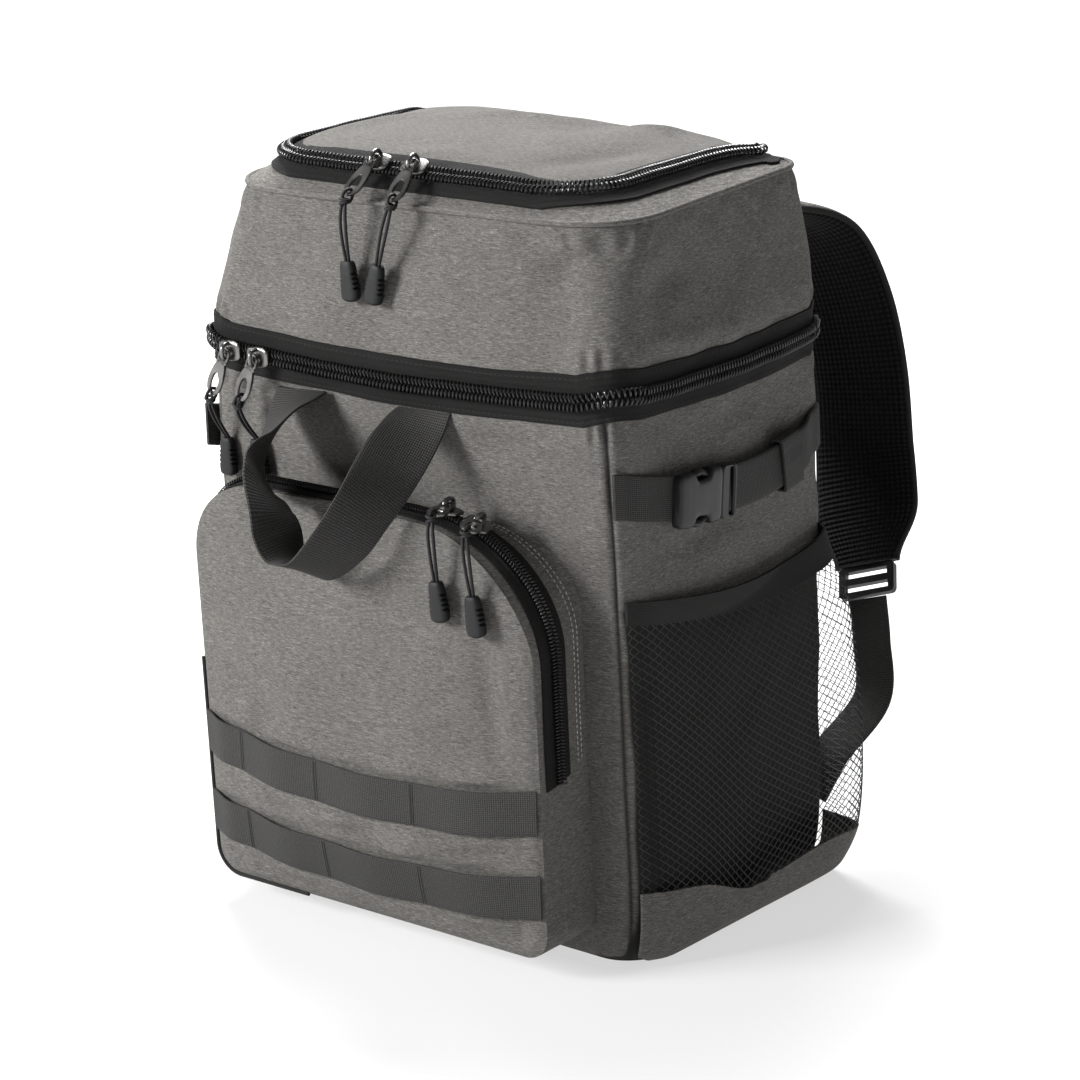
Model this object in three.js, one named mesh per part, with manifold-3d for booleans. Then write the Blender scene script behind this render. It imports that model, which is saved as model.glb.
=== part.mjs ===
// Cooler backpack with two stacked zipped compartments, a front pocket and mesh side pockets.
// Millimetres, +Z up, standing on the floor at z = 0. The front pocket faces -Y, the wearer +Y.
import * as THREE from "three";
import { mergeVertices } from "three/addons/utils/BufferGeometryUtils.js";
import Module from "manifold-3d";

const wasm = await Module();
wasm.setup();

// Driving sizes of the body
const clearance = 0.3;
const bodyWidth = 294;
const bodyDepth = 192;
const seamHeight = 415.5;
const seamSlope = 7.5;
const cornerRadius = 31;
const paddedWall = 5;
const frontBow = 3.5;
const sideBow = 2.5;
const zipHeight = 320;

// Driving sizes of the lid
const crownRise = 18;
const lidShift = -4;
const lidLean = 0.028;
const lidDome = 4;
const hingeFlare = 0.85;

// Driving sizes of the zips
const bodyChainWidth = 10.5;
const bodyChainDepth = 4.6;
const bodyTapeWidth = 28;
const lidTapeWidth = 24;
const tapeThickness = 1;
const pocketChainWidth = 7.5;
const pocketChainDepth = 3.2;
const pocketTapeWidth = 20;

// Driving sizes of the front pocket
const pocketWidth = 242;
const pocketTop = 254.5;
const pocketBottom = 15;
const pocketFront = -137;
const pocketCorners = { right: 74, left: 46, back: 46 };
const pocketFoot = 16;
const pocketBulge = 13;
const pocketWall = 2.4;
const pocketLean = 5;
const pocketSag = 5;
const pocketDroop = 4;
const pocketZipEnd = 112;
const pocketZipDepth = 0.62;

// Driving sizes of the webbing
const webbing = 25.5;
const webbingThickness = 1.6;
const upperRowHeight = 103;
const lowerRowHeight = 54;
const rowDip = 8;
const rowLoft = 2.2;
const handleWidth = 36;
const handleSpan = 89;
const handleReach = 69;
const handleDrop = 77;
const handleCentre = -22;

// Driving sizes of the side straps and their buckles
const strapHeight = 273;
const strapSag = 12;
const buckleHeight = 31;
const buckleDepth = 9;
const socketLength = 38;
const plugLength = 31;
const prongLength = 17;
const prongWidth = 5.2;
const socketWall = 2.2;
const buckleStart = -57;
const keeperStart = 40;
const keeperLength = 23;

// Driving sizes of the side pockets
const netHeight = 203;
const netBulge = 34;
const mouthGap = 7.5;
const netThickness = 1;
const hemHeight = 13;
const hemThickness = 1.7;
const bandHeight = 36;
const bandThickness = 1.6;

// Driving sizes of the back panel and the shoulder straps
const backPanelWidth = 252;
const backPanelBottom = 14;
const backPanelTop = 404;
const backPanelThickness = 12;
const padWidth = 64;
const padEndWidth = 38;
const padThickness = 11;
const padReach = 86;
const padSpread = 76;
const padDrop = 209;
const padRootHeight = 374;
const padRootCentre = 66;
const lockWidth = 36;
const lockLength = 20;
const lockThickness = 4.5;
const anchorHeight = 40;
const anchorInset = 7;
const anchorSway = 20;

// Driving sizes of the zip sliders and their pulls
const sliderLength = 15;
const sliderWidth = 10;
const sliderThickness = 3;
const bridgeHeight = 6;
const bridgeWire = 2.2;
const tabLength = 28;
const tabWidth = 11.5;
const tabThickness = 1.8;
const cordWidth = 4.2;
const cordThickness = 2.1;
const cordLength = 34;
const endLength = 22.5;
const endWidth = 11.8;
const endThickness = 6.6;

// Sections of the body from the floor to the top seam, as shares of seamHeight, of half the
// width and depth, and of cornerRadius for the front and the back corners.
const bodySections = [
  { up: 0, wide: 1.02, front: 0.9, back: 1.0, nose: 0.8, heel: 0.8 },
  { up: 0.02, wide: 1.05, front: 0.95, back: 1.035, nose: 0.8, heel: 0.75 },
  { up: 0.08, wide: 1.064, front: 0.97, back: 1.05, nose: 0.7, heel: 0.65 },
  { up: 0.26, wide: 1.05, front: 0.98, back: 1.06, nose: 0.65, heel: 0.55 },
  { up: 0.5, wide: 1.034, front: 0.985, back: 1.07, nose: 0.65, heel: 0.5 },
  { up: 0.7, wide: 1.018, front: 0.995, back: 1.08, nose: 0.7, heel: 0.48 },
  { up: 0.77, wide: 1.005, front: 0.995, back: 1.083, nose: 0.75, heel: 0.48 },
  { up: 0.83, wide: 1.008, front: 0.992, back: 1.083, nose: 0.85, heel: 0.48 },
  { up: 0.92, wide: 0.987, front: 0.945, back: 1.067, nose: 1.0, heel: 0.5 },
  { up: 0.975, wide: 0.962, front: 0.885, back: 1.045, nose: 1.15, heel: 0.55 },
  { up: 1, wide: 0.945, front: 0.852, back: 1.03, nose: 1.25, heel: 0.6 },
];

// Rings of the crown from the top seam to the middle of the lid, with the same columns;
// up is the share of crownRise above the seam.
const crownRings = [
  { at: 0, up: 0, wide: 0.945, front: 0.852, back: 1.03, nose: 1.25, heel: 0.6 },
  { at: 1, up: 0.3, wide: 0.85, front: 0.786, back: 1.0, nose: 1.2, heel: 0.7 },
  { at: 2, up: 0.62, wide: 0.775, front: 0.703, back: 0.965, nose: 1.15, heel: 0.8 },
  { at: 3, up: 0.88, wide: 0.695, front: 0.6, back: 0.92, nose: 1.1, heel: 0.85 },
  { at: 4, up: 1.0, wide: 0.5, front: 0.38, back: 0.72, nose: 0.9, heel: 0.8 },
  { at: 5, up: 1.06, wide: 0.25, front: 0.12, back: 0.43, nose: 0.5, heel: 0.5 },
];

// Height of the middle zip round the body, as shares of zipHeight. Side 0 is the front, 1 the
// front corner, 2 the side, 3 the back corner and 4 the back.
const zipWave = [
  { side: -0.5, rise: 1.018 },
  { side: 0.5, rise: 0.997 },
  { side: 1.5, rise: 1.018 },
  { side: 2.5, rise: 1.008 },
  { side: 3.5, rise: 1.022 },
  { side: 4.5, rise: 1.022 },
];

// Soft dents (push below 0) and swells of the body. Centre and spread are shares of half the
// width, half the depth and the seam height; push is a share of paddedWall; both mirrors it.
const bodyDents = [
  { name: "right front crease", x: 0.74, y: -0.95, z: 0.93, sx: 0.1, sy: 0.3, sz: 0.07, push: -0.9, both: false },
  { name: "left front dent", x: -0.86, y: -0.9, z: 0.93, sx: 0.16, sy: 0.3, sz: 0.06, push: -0.8, both: false },
  { name: "upper front swell", x: 0.1, y: -1, z: 0.87, sx: 0.5, sy: 0.3, sz: 0.05, push: 0.25, both: false },
  { name: "upper side hollow", x: 1, y: -0.1, z: 0.91, sx: 0.2, sy: 0.3, sz: 0.04, push: -0.6, both: true },
  { name: "upper side swell", x: 1, y: 0.2, z: 0.84, sx: 0.2, sy: 0.5, sz: 0.02, push: 0.4, both: true },
  { name: "dent beside the pocket", x: 0.95, y: -0.8, z: 0.55, sx: 0.12, sy: 0.35, sz: 0.1, push: -0.5, both: true },
  { name: "dent behind the buckle", x: 1, y: -0.1, z: 0.66, sx: 0.2, sy: 0.4, sz: 0.05, push: -0.5, both: true },
];

// Waves of the lid cloth; centre and spread are shares of half the width and depth, and push
// is a share of lidDome.
const lidWaves = [
  { name: "crown of the lid", x: -0.1, y: 0.1, sx: 0.5, sy: 0.6, push: 0.9 },
  { name: "fold near the hinge", x: 0.18, y: 0.7, sx: 0.1, sy: 0.3, push: -0.5 },
  { name: "swell near the hinge", x: 0.36, y: 0.65, sx: 0.1, sy: 0.3, push: 0.4 },
  { name: "dip at the right", x: 0.5, y: -0.1, sx: 0.14, sy: 0.4, push: -0.4 },
];

// The grab handle from its left to its right end: centre as shares of handleSpan, handleReach
// and handleDrop, and the direction across the webbing.
const handleRun = [
  { along: -0.5, out: 0, down: 0, ax: -1, ay: 0, az: 0 },
  { along: -0.48, out: 0.3, down: 0.16, ax: -0.86, ay: 0.43, az: -0.26 },
  { along: -0.39, out: 0.64, down: 0.35, ax: -0.62, ay: 0.7, az: -0.37 },
  { along: -0.24, out: 0.9, down: 0.45, ax: -0.35, ay: 0.9, az: -0.25 },
  { along: -0.11, out: 1, down: 0.61, ax: -0.1, ay: 0.98, az: -0.17 },
  { along: -0.05, out: 1.02, down: 0.77, ax: 0.08, ay: 0.98, az: -0.1 },
  { along: 0.03, out: 1.01, down: 0.95, ax: 0, ay: 0.94, az: -0.33 },
  { along: 0.19, out: 1, down: 1, ax: 0.03, ay: 0.87, az: -0.5 },
  { along: 0.4, out: 0.96, down: 0.78, ax: 0.37, ay: 0.79, az: -0.48 },
  { along: 0.52, out: 0.8, down: 0.51, ax: 0.45, ay: 0.76, az: -0.46 },
  { along: 0.535, out: 0.49, down: 0.27, ax: 0.65, ay: 0.62, az: -0.35 },
  { along: 0.508, out: 0.17, down: 0.1, ax: 0.93, ay: 0.3, az: -0.17 },
  { along: 0.5, out: 0, down: 0, ax: 1, ay: 0, az: 0 },
];

// How far the side pocket stands off the body: along its depth, and up its height.
const netPlan = [
  { back: 0, off: 0 },
  { back: 0.14, off: 0.22 },
  { back: 0.35, off: 0.45 },
  { back: 0.6, off: 0.72 },
  { back: 0.8, off: 0.94 },
  { back: 0.91, off: 0.98 },
  { back: 0.975, off: 0.7 },
  { back: 1, off: 0 },
];
const netRise = [
  { up: 0, off: 0.36 },
  { up: 0.06, off: 0.62 },
  { up: 0.2, off: 0.9 },
  { up: 0.45, off: 1 },
  { up: 0.7, off: 0.9 },
  { up: 0.87, off: 0.68 },
  { up: 0.96, off: 0.34 },
  { up: 1, off: 0.22 },
];

// Top edge of the side pocket and of its lower band along the pocket's depth, as shares of
// netHeight and bandHeight.
const mouthLine = [
  { back: 0, rise: 1.05 },
  { back: 0.35, rise: 1.005 },
  { back: 0.62, rise: 0.995 },
  { back: 0.88, rise: 1.015 },
  { back: 1, rise: 1.04 },
];
const bandLine = [
  { back: 0, rise: 1.3 },
  { back: 0.22, rise: 1.15 },
  { back: 0.4, rise: 0.8 },
  { back: 0.5, rise: 0.86 },
  { back: 0.75, rise: 1.05 },
  { back: 1, rise: 0.95 },
];

// Middle line of a shoulder pad from its root, as shares of padSpread, padReach and padDrop.
const padRun = [
  { out: 0, back: 0, down: 0 },
  { out: 0.02, back: 0.16, down: -0.03 },
  { out: 0.14, back: 0.5, down: -0.015 },
  { out: 0.34, back: 0.8, down: 0.07 },
  { out: 0.49, back: 0.96, down: 0.25 },
  { out: 0.61, back: 1, down: 0.475 },
  { out: 0.7, back: 0.95, down: 0.71 },
  { out: 0.85, back: 0.77, down: 0.88 },
  { out: 1, back: 0.56, down: 1 },
];

// The pulls of each zip: at is the share along the front of the chain, fall the direction of
// the tab, hang how its cord hangs, across and down, and long and cord their lengths as shares
// of tabLength and cordLength.
const pulls = [
  { name: "lid_left", zip: "lid", at: 0.343, fall: [-0.12, -0.75, -0.66], hang: [0.08, -1], long: 1, cord: 1 },
  { name: "lid_right", zip: "lid", at: 0.51, fall: [0.09, -0.75, -0.65], hang: [-0.22, -1], long: 1, cord: 1 },
  { name: "middle_left", zip: "middle", at: 0.03, fall: [-0.42, -0.1, -1], hang: [0, -1], long: 1, cord: 0.8 },
  { name: "middle_right", zip: "middle", at: 0.12, fall: [-0.42, -0.1, -1], hang: [0.1, -1], long: 0.98, cord: 0.7 },
  { name: "pocket_left", zip: "pocket", at: 1.02, fall: [0.3, -0.95, 0], hang: [0.12, -1], long: 0.82, cord: 1 },
  { name: "pocket_right", zip: "pocket", at: 1.2, fall: [0.36, -0.92, 0], hang: [0.12, -1], long: 0.82, cord: 1 },
];

const heather = new THREE.MeshStandardMaterial({ color: 0x77736c, roughness: 0.95 });
const blackWebbing = new THREE.MeshStandardMaterial({ color: 0x242323, roughness: 0.85 });
const blackTape = new THREE.MeshStandardMaterial({ color: 0x1b1b1b, roughness: 0.9 });
const blackCoil = new THREE.MeshStandardMaterial({ color: 0x0e0e0e, roughness: 0.3 });
const blackNickel = new THREE.MeshStandardMaterial({ color: 0x1c1c1e, roughness: 0.25, metalness: 0.9 });
const darkRubber = new THREE.MeshStandardMaterial({ color: 0x2a2b2d, roughness: 0.6 });
const darkPlastic = new THREE.MeshStandardMaterial({ color: 0x202225, roughness: 0.55 });
const blackMesh = new THREE.MeshStandardMaterial({ color: 0x161616, roughness: 0.9 });

const vec = (x, y, z) => new THREE.Vector3(x, y, z);
const mix = (a, b, share) => a + (b - a) * share;
const clamp01 = (value) => Math.min(1, Math.max(0, value));
const smooth = (value) => clamp01(value) ** 2 * (3 - 2 * clamp01(value));

// A smooth curve through one column of a table, read at a place of its key column.
function along(table, key, column, place) {
  const last = table.length - 1;
  let i = 0;
  while (i < last - 1 && place > table[i + 1][key]) i += 1;
  const [a, b] = [table[i], table[i + 1]];
  const slope = (k) => {
    const [p, q] = [table[Math.max(0, k - 1)], table[Math.min(last, k + 1)]];
    return (q[column] - p[column]) / (q[key] - p[key]);
  };
  const span = b[key] - a[key];
  const s = clamp01((place - a[key]) / span);
  const [s2, s3] = [s * s, s * s * s];
  return (
    (2 * s3 - 3 * s2 + 1) * a[column] +
    (s3 - 2 * s2 + s) * span * slope(i) +
    (3 * s2 - 2 * s3) * b[column] +
    (s3 - s2) * span * slope(i + 1)
  );
}

// A closed mesh from rings of equally many points, closed at both ends by a fan.
function loft(rings) {
  const count = rings[0].length;
  const positions = rings.flat().flatMap((p) => [p.x, p.y, p.z]);
  const faces = [];
  for (let r = 0; r + 1 < rings.length; r += 1) {
    for (let k = 0; k < count; k += 1) {
      const next = (k + 1) % count;
      const [a, b, c, d] = [r * count + k, r * count + next, (r + 1) * count + next, (r + 1) * count + k];
      faces.push(a, b, c, a, c, d);
    }
  }
  [rings[0], rings[rings.length - 1]].forEach((ring, end) => {
    const middle = positions.length / 3;
    const centre = ring.reduce((sum, p) => sum.add(p), vec(0, 0, 0)).divideScalar(count);
    positions.push(centre.x, centre.y, centre.z);
    const start = end * (rings.length - 1) * count;
    for (let k = 0; k < count; k += 1) {
      const [a, b] = [start + k, start + ((k + 1) % count)];
      if (end) faces.push(middle, a, b);
      else faces.push(middle, b, a);
    }
  });
  return facingOut(positions, faces);
}

// A closed mesh from positions and faces, turned so that its faces point out.
function facingOut(positions, faces) {
  const at = (i) => vec(positions[3 * i], positions[3 * i + 1], positions[3 * i + 2]);
  let volume = 0;
  for (let i = 0; i < faces.length; i += 3) {
    volume += at(faces[i]).dot(at(faces[i + 1]).cross(at(faces[i + 2])));
  }
  if (volume < 0) {
    for (let i = 0; i < faces.length; i += 3) [faces[i + 1], faces[i + 2]] = [faces[i + 2], faces[i + 1]];
  }
  const geometry = new THREE.BufferGeometry();
  geometry.setAttribute("position", new THREE.Float32BufferAttribute(positions, 3));
  geometry.setIndex(faces);
  geometry.computeVertexNormals();
  return geometry;
}

// A sheet with two faces: a grid of outer points and a grid of inner points, joined at the rim.
function sheet(outer, inner) {
  const [rows, columns] = [outer.length, outer[0].length];
  const rim = [];
  for (let c = 0; c < columns; c += 1) rim.push([0, c]);
  for (let r = 1; r < rows; r += 1) rim.push([r, columns - 1]);
  for (let c = columns - 2; c >= 0; c -= 1) rim.push([rows - 1, c]);
  for (let r = rows - 2; r > 0; r -= 1) rim.push([r, 0]);
  const positions = [...outer.flat(), ...inner.flat()].flatMap((p) => [p.x, p.y, p.z]);
  const [outerAt, innerAt] = [(r, c) => r * columns + c, (r, c) => (rows + r) * columns + c];
  const faces = [];
  for (let r = 0; r + 1 < rows; r += 1) {
    for (let c = 0; c + 1 < columns; c += 1) {
      faces.push(outerAt(r, c), outerAt(r, c + 1), outerAt(r + 1, c + 1));
      faces.push(outerAt(r, c), outerAt(r + 1, c + 1), outerAt(r + 1, c));
      faces.push(innerAt(r, c), innerAt(r + 1, c + 1), innerAt(r, c + 1));
      faces.push(innerAt(r, c), innerAt(r + 1, c), innerAt(r + 1, c + 1));
    }
  }
  rim.forEach(([r, c], k) => {
    const [nr, nc] = rim[(k + 1) % rim.length];
    faces.push(outerAt(r, c), innerAt(nr, nc), outerAt(nr, nc));
    faces.push(outerAt(r, c), innerAt(r, c), innerAt(nr, nc));
  });
  return facingOut(positions, faces);
}

const steps = (from, to, count) => Array.from({ length: count + 1 }, (_, i) => mix(from, to, i / count));

// Places round a rounded rectangle: 0 to 1 is the front, then each corner and side in turn.
const perimeter = [
  ...steps(0, 1, 6).slice(0, -1),
  ...steps(1, 2, 4).slice(0, -1),
  ...steps(2, 3, 5).slice(0, -1),
  ...steps(3, 4, 4).slice(0, -1),
  ...steps(4, 5, 4).slice(0, -1),
  ...steps(5, 6, 4).slice(0, -1),
  ...steps(6, 7, 5).slice(0, -1),
  ...steps(7, 8, 4).slice(0, -1),
];

// Where a place falls on a rounded rectangle, and the way out of it there. The four corner
// radii go round from the right one at the low edge.
function roundedAt(place, wide, low, high, corners, bowLow, bowSide) {
  const t = ((place % 8) + 8) % 8;
  const [side, share] = [Math.floor(t), t - Math.floor(t)];
  const [rightLow, rightHigh, leftHigh, leftLow] = corners;
  if (side % 2) {
    const corner = corners[(side - 1) / 2];
    const turn = ((side - 1) / 2 - 1 + share) * (Math.PI / 2);
    const out = [Math.cos(turn), Math.sin(turn)];
    const middle = [(side < 4 ? 1 : -1) * (wide - corner), side === 1 || side === 7 ? low + corner : high - corner];
    return { x: middle[0] + corner * out[0], y: middle[1] + corner * out[1], out };
  }
  const bow = 4 * share * (1 - share);
  if (side === 0) return { x: mix(leftLow - wide, wide - rightLow, share), y: low - bowLow * bow, out: [0, -1] };
  if (side === 2) return { x: wide + bowSide * bow, y: mix(low + rightLow, high - rightHigh, share), out: [1, 0] };
  if (side === 4) return { x: mix(wide - rightHigh, leftHigh - wide, share), y: high, out: [0, 1] };
  return { x: -wide - bowSide * bow, y: mix(high - leftHigh, low + leftLow, share), out: [-1, 0] };
}

// Height of the top seam at a depth y: it climbs from the front to the back.
const seamAt = (y) => seamHeight + (seamSlope * y) / bodyDepth;

// The outer surface of the body at a place round it and a share of its height.
function bodyAt(place, up) {
  const column = (name) => along(bodySections, "up", name, up);
  const bowShare = smooth(up / 0.08) * smooth((1 - up) / 0.2);
  const [nose, heel] = [column("nose") * cornerRadius, column("heel") * cornerRadius];
  const spot = roundedAt(
    place,
    (column("wide") * bodyWidth) / 2,
    (-column("front") * bodyDepth) / 2,
    (column("back") * bodyDepth) / 2,
    [nose, heel, heel, nose],
    frontBow * bowShare,
    sideBow * bowShare,
  );
  const push = bodyDents.reduce((sum, dent) => {
    const across = dent.both ? Math.abs(spot.x) : spot.x;
    const dx = ((2 * across) / bodyWidth - dent.x) / dent.sx;
    const dy = ((2 * spot.y) / bodyDepth - dent.y) / dent.sy;
    const dz = (up - dent.z) / dent.sz;
    return sum + dent.push * paddedWall * Math.exp(-0.5 * (dx * dx + dy * dy + dz * dz));
  }, 0);
  const [x, y] = [spot.x + push * spot.out[0], spot.y + push * spot.out[1]];
  return vec(x, y, up * seamAt(y));
}

// The outer surface of the crown: ring 0 is the top seam, 2 the middle of the lid zip.
function crownAt(place, ring) {
  const column = (name) => along(crownRings, "at", name, ring);
  const up = column("up");
  const [nose, heel] = [column("nose") * cornerRadius, column("heel") * cornerRadius];
  const spot = roundedAt(
    place,
    (column("wide") * bodyWidth) / 2,
    (-column("front") * bodyDepth) / 2,
    (column("back") * bodyDepth) / 2,
    [nose, heel, heel, nose],
    0,
    0,
  );
  const x = spot.x + lidShift * Math.min(1, up);
  const wave = lidWaves.reduce((sum, swell) => {
    const dx = ((2 * x) / bodyWidth - swell.x) / swell.sx;
    const dy = ((2 * spot.y) / bodyDepth - swell.y) / swell.sy;
    return sum + swell.push * lidDome * Math.exp(-0.5 * (dx * dx + dy * dy));
  }, 0);
  const base = mix(seamAt(spot.y), seamHeight, clamp01(up));
  const z = base + crownRise * up - lidLean * x * clamp01(up) + wave * smooth((ring - 2.4) / 1.2);
  return vec(x, spot.y, z);
}

// A surface's outward direction, from two small steps along it.
function outward(surface, u, v) {
  const step = 1e-3;
  const across = surface(u + step, v).sub(surface(u - step, v));
  const up = surface(u, v + step).sub(surface(u, v - step));
  return across.cross(up).normalize();
}

const lifted = (surface, u, v, lift) => surface(u, v).addScaledVector(outward(surface, u, v), lift);

// The share of the body's height at which the middle zip runs.
function zipShare(place) {
  const folded = Math.abs(((((place - 0.5 + 4) % 8) + 8) % 8) - 4) + 0.5;
  const height = along(zipWave, "side", "rise", folded) * zipHeight;
  const y = bodyAt(place, height / seamHeight).y;
  return height / seamAt(y);
}

// The ring at which the lid parts from the crown: it flares out to the hinge corners.
function lidEdge(place) {
  const folded = Math.abs(((((place - 0.5 + 4) % 8) + 8) % 8) - 4);
  return 2 - hingeFlare * Math.exp(-0.5 * ((folded - 2.95) / 0.3) ** 2);
}

const named = (name, geometry, material) => {
  const mesh = new THREE.Mesh(geometry, material);
  mesh.name = name;
  return mesh;
};

// Lower compartment: an open tub whose rim lies under the middle zip.
function lowerBody() {
  const rimGap = clearance / 2 / seamHeight;
  const shares = [0, 0.02, 0.08, 0.26, 0.5, 0.68, 1];
  const level = (place, share) => {
    const top = zipShare(place) - rimGap;
    return share === 1 ? top : share;
  };
  const outer = shares.map((share) => perimeter.map((place) => bodyAt(place, level(place, share))));
  const innerShares = [1, 0.5, 0.1, paddedWall / seamHeight];
  const inner = innerShares.map((share) =>
    perimeter.map((place) => {
      const up = level(place, share);
      const flat = Math.max(up, 0.02);
      const wall = lifted(bodyAt, place, flat, -paddedWall);
      return wall.setZ(bodyAt(place, up).z);
    }),
  );
  return loft([...outer, ...inner]);
}

// Upper compartment: a cup on the lower one, with the divider as its floor, closed in to the lid.
function upperBody() {
  const rimGap = clearance / 2 / seamHeight;
  const ease = (place, share) => mix(zipShare(place) + rimGap, 1, share);
  const outer = [0, 0.25, 0.55, 0.8, 1].map((share) => perimeter.map((place) => bodyAt(place, ease(place, share))));
  const crown = [0.7, 1].map((share) =>
    perimeter.map((place) => crownAt(place, share * (lidEdge(place) - 0.06))),
  );
  const innerCrown = [1, 0.3].map((share) =>
    perimeter.map((place) => lifted(crownAt, place, Math.max(0.2, share * (lidEdge(place) - 0.06)), -paddedWall * 0.8)),
  );
  const inner = [0.7, 0.3].map((share) => perimeter.map((place) => lifted(bodyAt, place, ease(place, share), -paddedWall)));
  const floor = perimeter.map((place) => {
    const spot = lifted(bodyAt, place, ease(place, 0.05), -paddedWall);
    return spot.setZ(ease(place, 0) * seamAt(spot.y) + paddedWall);
  });
  return loft([...outer, ...crown, ...innerCrown, ...inner, floor]);
}

// Lid: a domed padded plate inside the zip.
function lidPanel() {
  const edge = (place) => lidEdge(place) + 0.06;
  const top = [0, 0.4, 0.72, 1].map((share) =>
    perimeter.map((place) => crownAt(place, mix(edge(place), 5, share))),
  );
  const under = [1, 0.6, 0.05].map((share) =>
    perimeter.map((place) => lifted(crownAt, place, mix(edge(place), 5, share), -paddedWall * 0.8)),
  );
  return loft([...top.reverse(), ...under.reverse()]);
}

// A strip on a surface: run gives places (u, v) on it, halfWidth is in the v direction, in
// millimetres, and the section is a list of [across, lift] corners.
function stripOn(surface, run, section) {
  return loft(
    run.map(([u, v]) => {
      const middle = surface(u, v);
      const ahead = surface(u + 1e-3, v).sub(middle).normalize();
      const out = outward(surface, u, v);
      const across = out.clone().cross(ahead).normalize();
      const perStep = surface(u, v + 1e-3).sub(middle).dot(across) / 1e-3;
      return section.map(([side, lift]) => lifted(surface, u, v + side / perStep, lift));
    }),
  );
}

const tapeSection = (width, lift) => [
  [-width / 2, lift],
  [0, lift],
  [width / 2, lift],
  [width / 2, lift + tapeThickness],
  [0, lift + tapeThickness],
  [-width / 2, lift + tapeThickness],
];
const chainSection = (width, depth, lift) => [
  [-width / 2, lift],
  [width / 2, lift],
  [width / 2, lift + depth * 0.55],
  [width / 5, lift + depth],
  [-width / 5, lift + depth],
  [-width / 2, lift + depth * 0.55],
];
const chainLift = 2 * clearance + tapeThickness;
const lidChainLift = chainLift + 2 * clearance;

// Places along a zip that goes round the left side, the front and the right side.
const zipPlaces = [
  ...steps(-2.5, -2, 2).slice(0, -1),
  ...steps(-2, -1, 5).slice(0, -1),
  ...steps(-1, 0, 4).slice(0, -1),
  ...steps(0, 1, 6).slice(0, -1),
  ...steps(1, 2, 4).slice(0, -1),
  ...steps(2, 3, 5).slice(0, -1),
  ...steps(3, 3.5, 2),
];

const middleRun = zipPlaces.map((place) => [place, zipShare(place)]);
const lidRun = zipPlaces.map((place) => [place, lidEdge(place)]);

// The front pocket's outline at a place round it, and a share of its depth from the body.
const pocketMiddle = (pocketTop + pocketBottom) / 2;
const pocketHalf = (pocketTop - pocketBottom) / 2;
const pocketCentre = (z) => -pocketLean * ((z - pocketMiddle) / (2 * pocketHalf));
function pocketFace(x, z) {
  const across = Math.min(1, Math.abs((2 * (x - pocketCentre(z))) / pocketWidth));
  const up = Math.max(-1, Math.min(1, (z - pocketMiddle) / pocketHalf));
  const fill = (1 - across ** 2.6) * (1 - Math.abs(up) ** 3) * (1 - 0.25 * up);
  return pocketFront - pocketBulge * fill;
}

// Front of the body at x and z, found from its section there.
function bodyFrontAt(x, z) {
  let place = 0.5;
  let here = bodyAt(place, z / seamHeight);
  for (let i = 0; i < 6; i += 1) {
    const up = z / seamAt(here.y);
    here = bodyAt(place, up);
    const next = bodyAt(place + 1e-3, up);
    place = Math.min(1.45, Math.max(-0.45, place + ((x - here.x) / (next.x - here.x)) * 1e-3));
  }
  return here.y;
}

// Back of the body at a height z.
const backAt = (z) => bodyAt(4.5, z / seamAt(bodyDepth / 2)).y;

function pocketAt(place, depth) {
  const half = pocketWidth / 2;
  const shrink = 1 - Math.max(0, depth - 1);
  const inside = 1 - clamp01(depth);
  const rightCorner = mix(pocketCorners.back, pocketCorners.right, Math.sqrt(clamp01(depth)));
  const corners = [pocketFoot, rightCorner, pocketCorners.left, pocketFoot];
  const spot = roundedAt(place, half, pocketBottom, pocketTop, corners, 0, 0);
  const upper = smooth((spot.y - pocketMiddle) / pocketHalf);
  const droop = pocketDroop * upper * smooth((2 * spot.x) / pocketWidth);
  const z = pocketMiddle + (spot.y - pocketMiddle) * shrink - pocketSag * inside * inside * upper - droop;
  const x = spot.x * shrink + pocketCentre(z) + 2 * inside * Math.sign(spot.x);
  if (depth >= 1) return vec(x, pocketFace(x, z), z);
  return vec(x, mix(bodyFrontAt(x, z) - clearance, pocketFront, depth), z);
}

// Front pocket: a shell open to the body, with a padded face.
function frontPocket() {
  const faceDepths = [1.85, 1.6, 1.35, 1.14, 1.04, 1];
  const gussetDepths = [0.8, 0.55, 0.25, 0];
  const outer = [...faceDepths, ...gussetDepths].map((depth) => perimeter.map((place) => pocketAt(place, depth)));
  const shrinkX = (p, depth) => {
    const centre = pocketCentre(p.z);
    const inset = pocketWall / (pocketWidth / 2);
    return vec(mix(p.x, centre, inset), p.y + (depth >= 1 ? pocketWall : 0), mix(p.z, pocketMiddle, pocketWall / pocketHalf));
  };
  const inner = [0, 0.5, 0.94].map((depth) =>
    perimeter.map((place) => {
      const p = shrinkX(pocketAt(place, depth), depth);
      return depth === 0 ? p.setY(bodyFrontAt(p.x, p.z) - clearance) : p;
    }),
  );
  const innerFace = [1.3, 1.7].map((depth) => perimeter.map((place) => shrinkX(pocketAt(place, depth), depth)));
  return loft([...outer, ...inner, ...innerFace]);
}

const pocketSidePlace = (z, corner) => 2 + (z - pocketBottom - pocketFoot) / (pocketTop - corner - pocketBottom - pocketFoot);
const pocketRun = () => {
  const start = pocketSidePlace(pocketZipEnd, pocketCorners.right);
  const end = 9 - pocketSidePlace(pocketZipEnd, pocketCorners.left);
  return [
    ...steps(start, 3, 4).slice(0, -1),
    ...steps(3, 4, 4).slice(0, -1),
    ...steps(4, 5, 8).slice(0, -1),
    ...steps(5, 6, 4).slice(0, -1),
    ...steps(6, end, 4),
  ].map((place) => [place, pocketZipDepth]);
};

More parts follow.
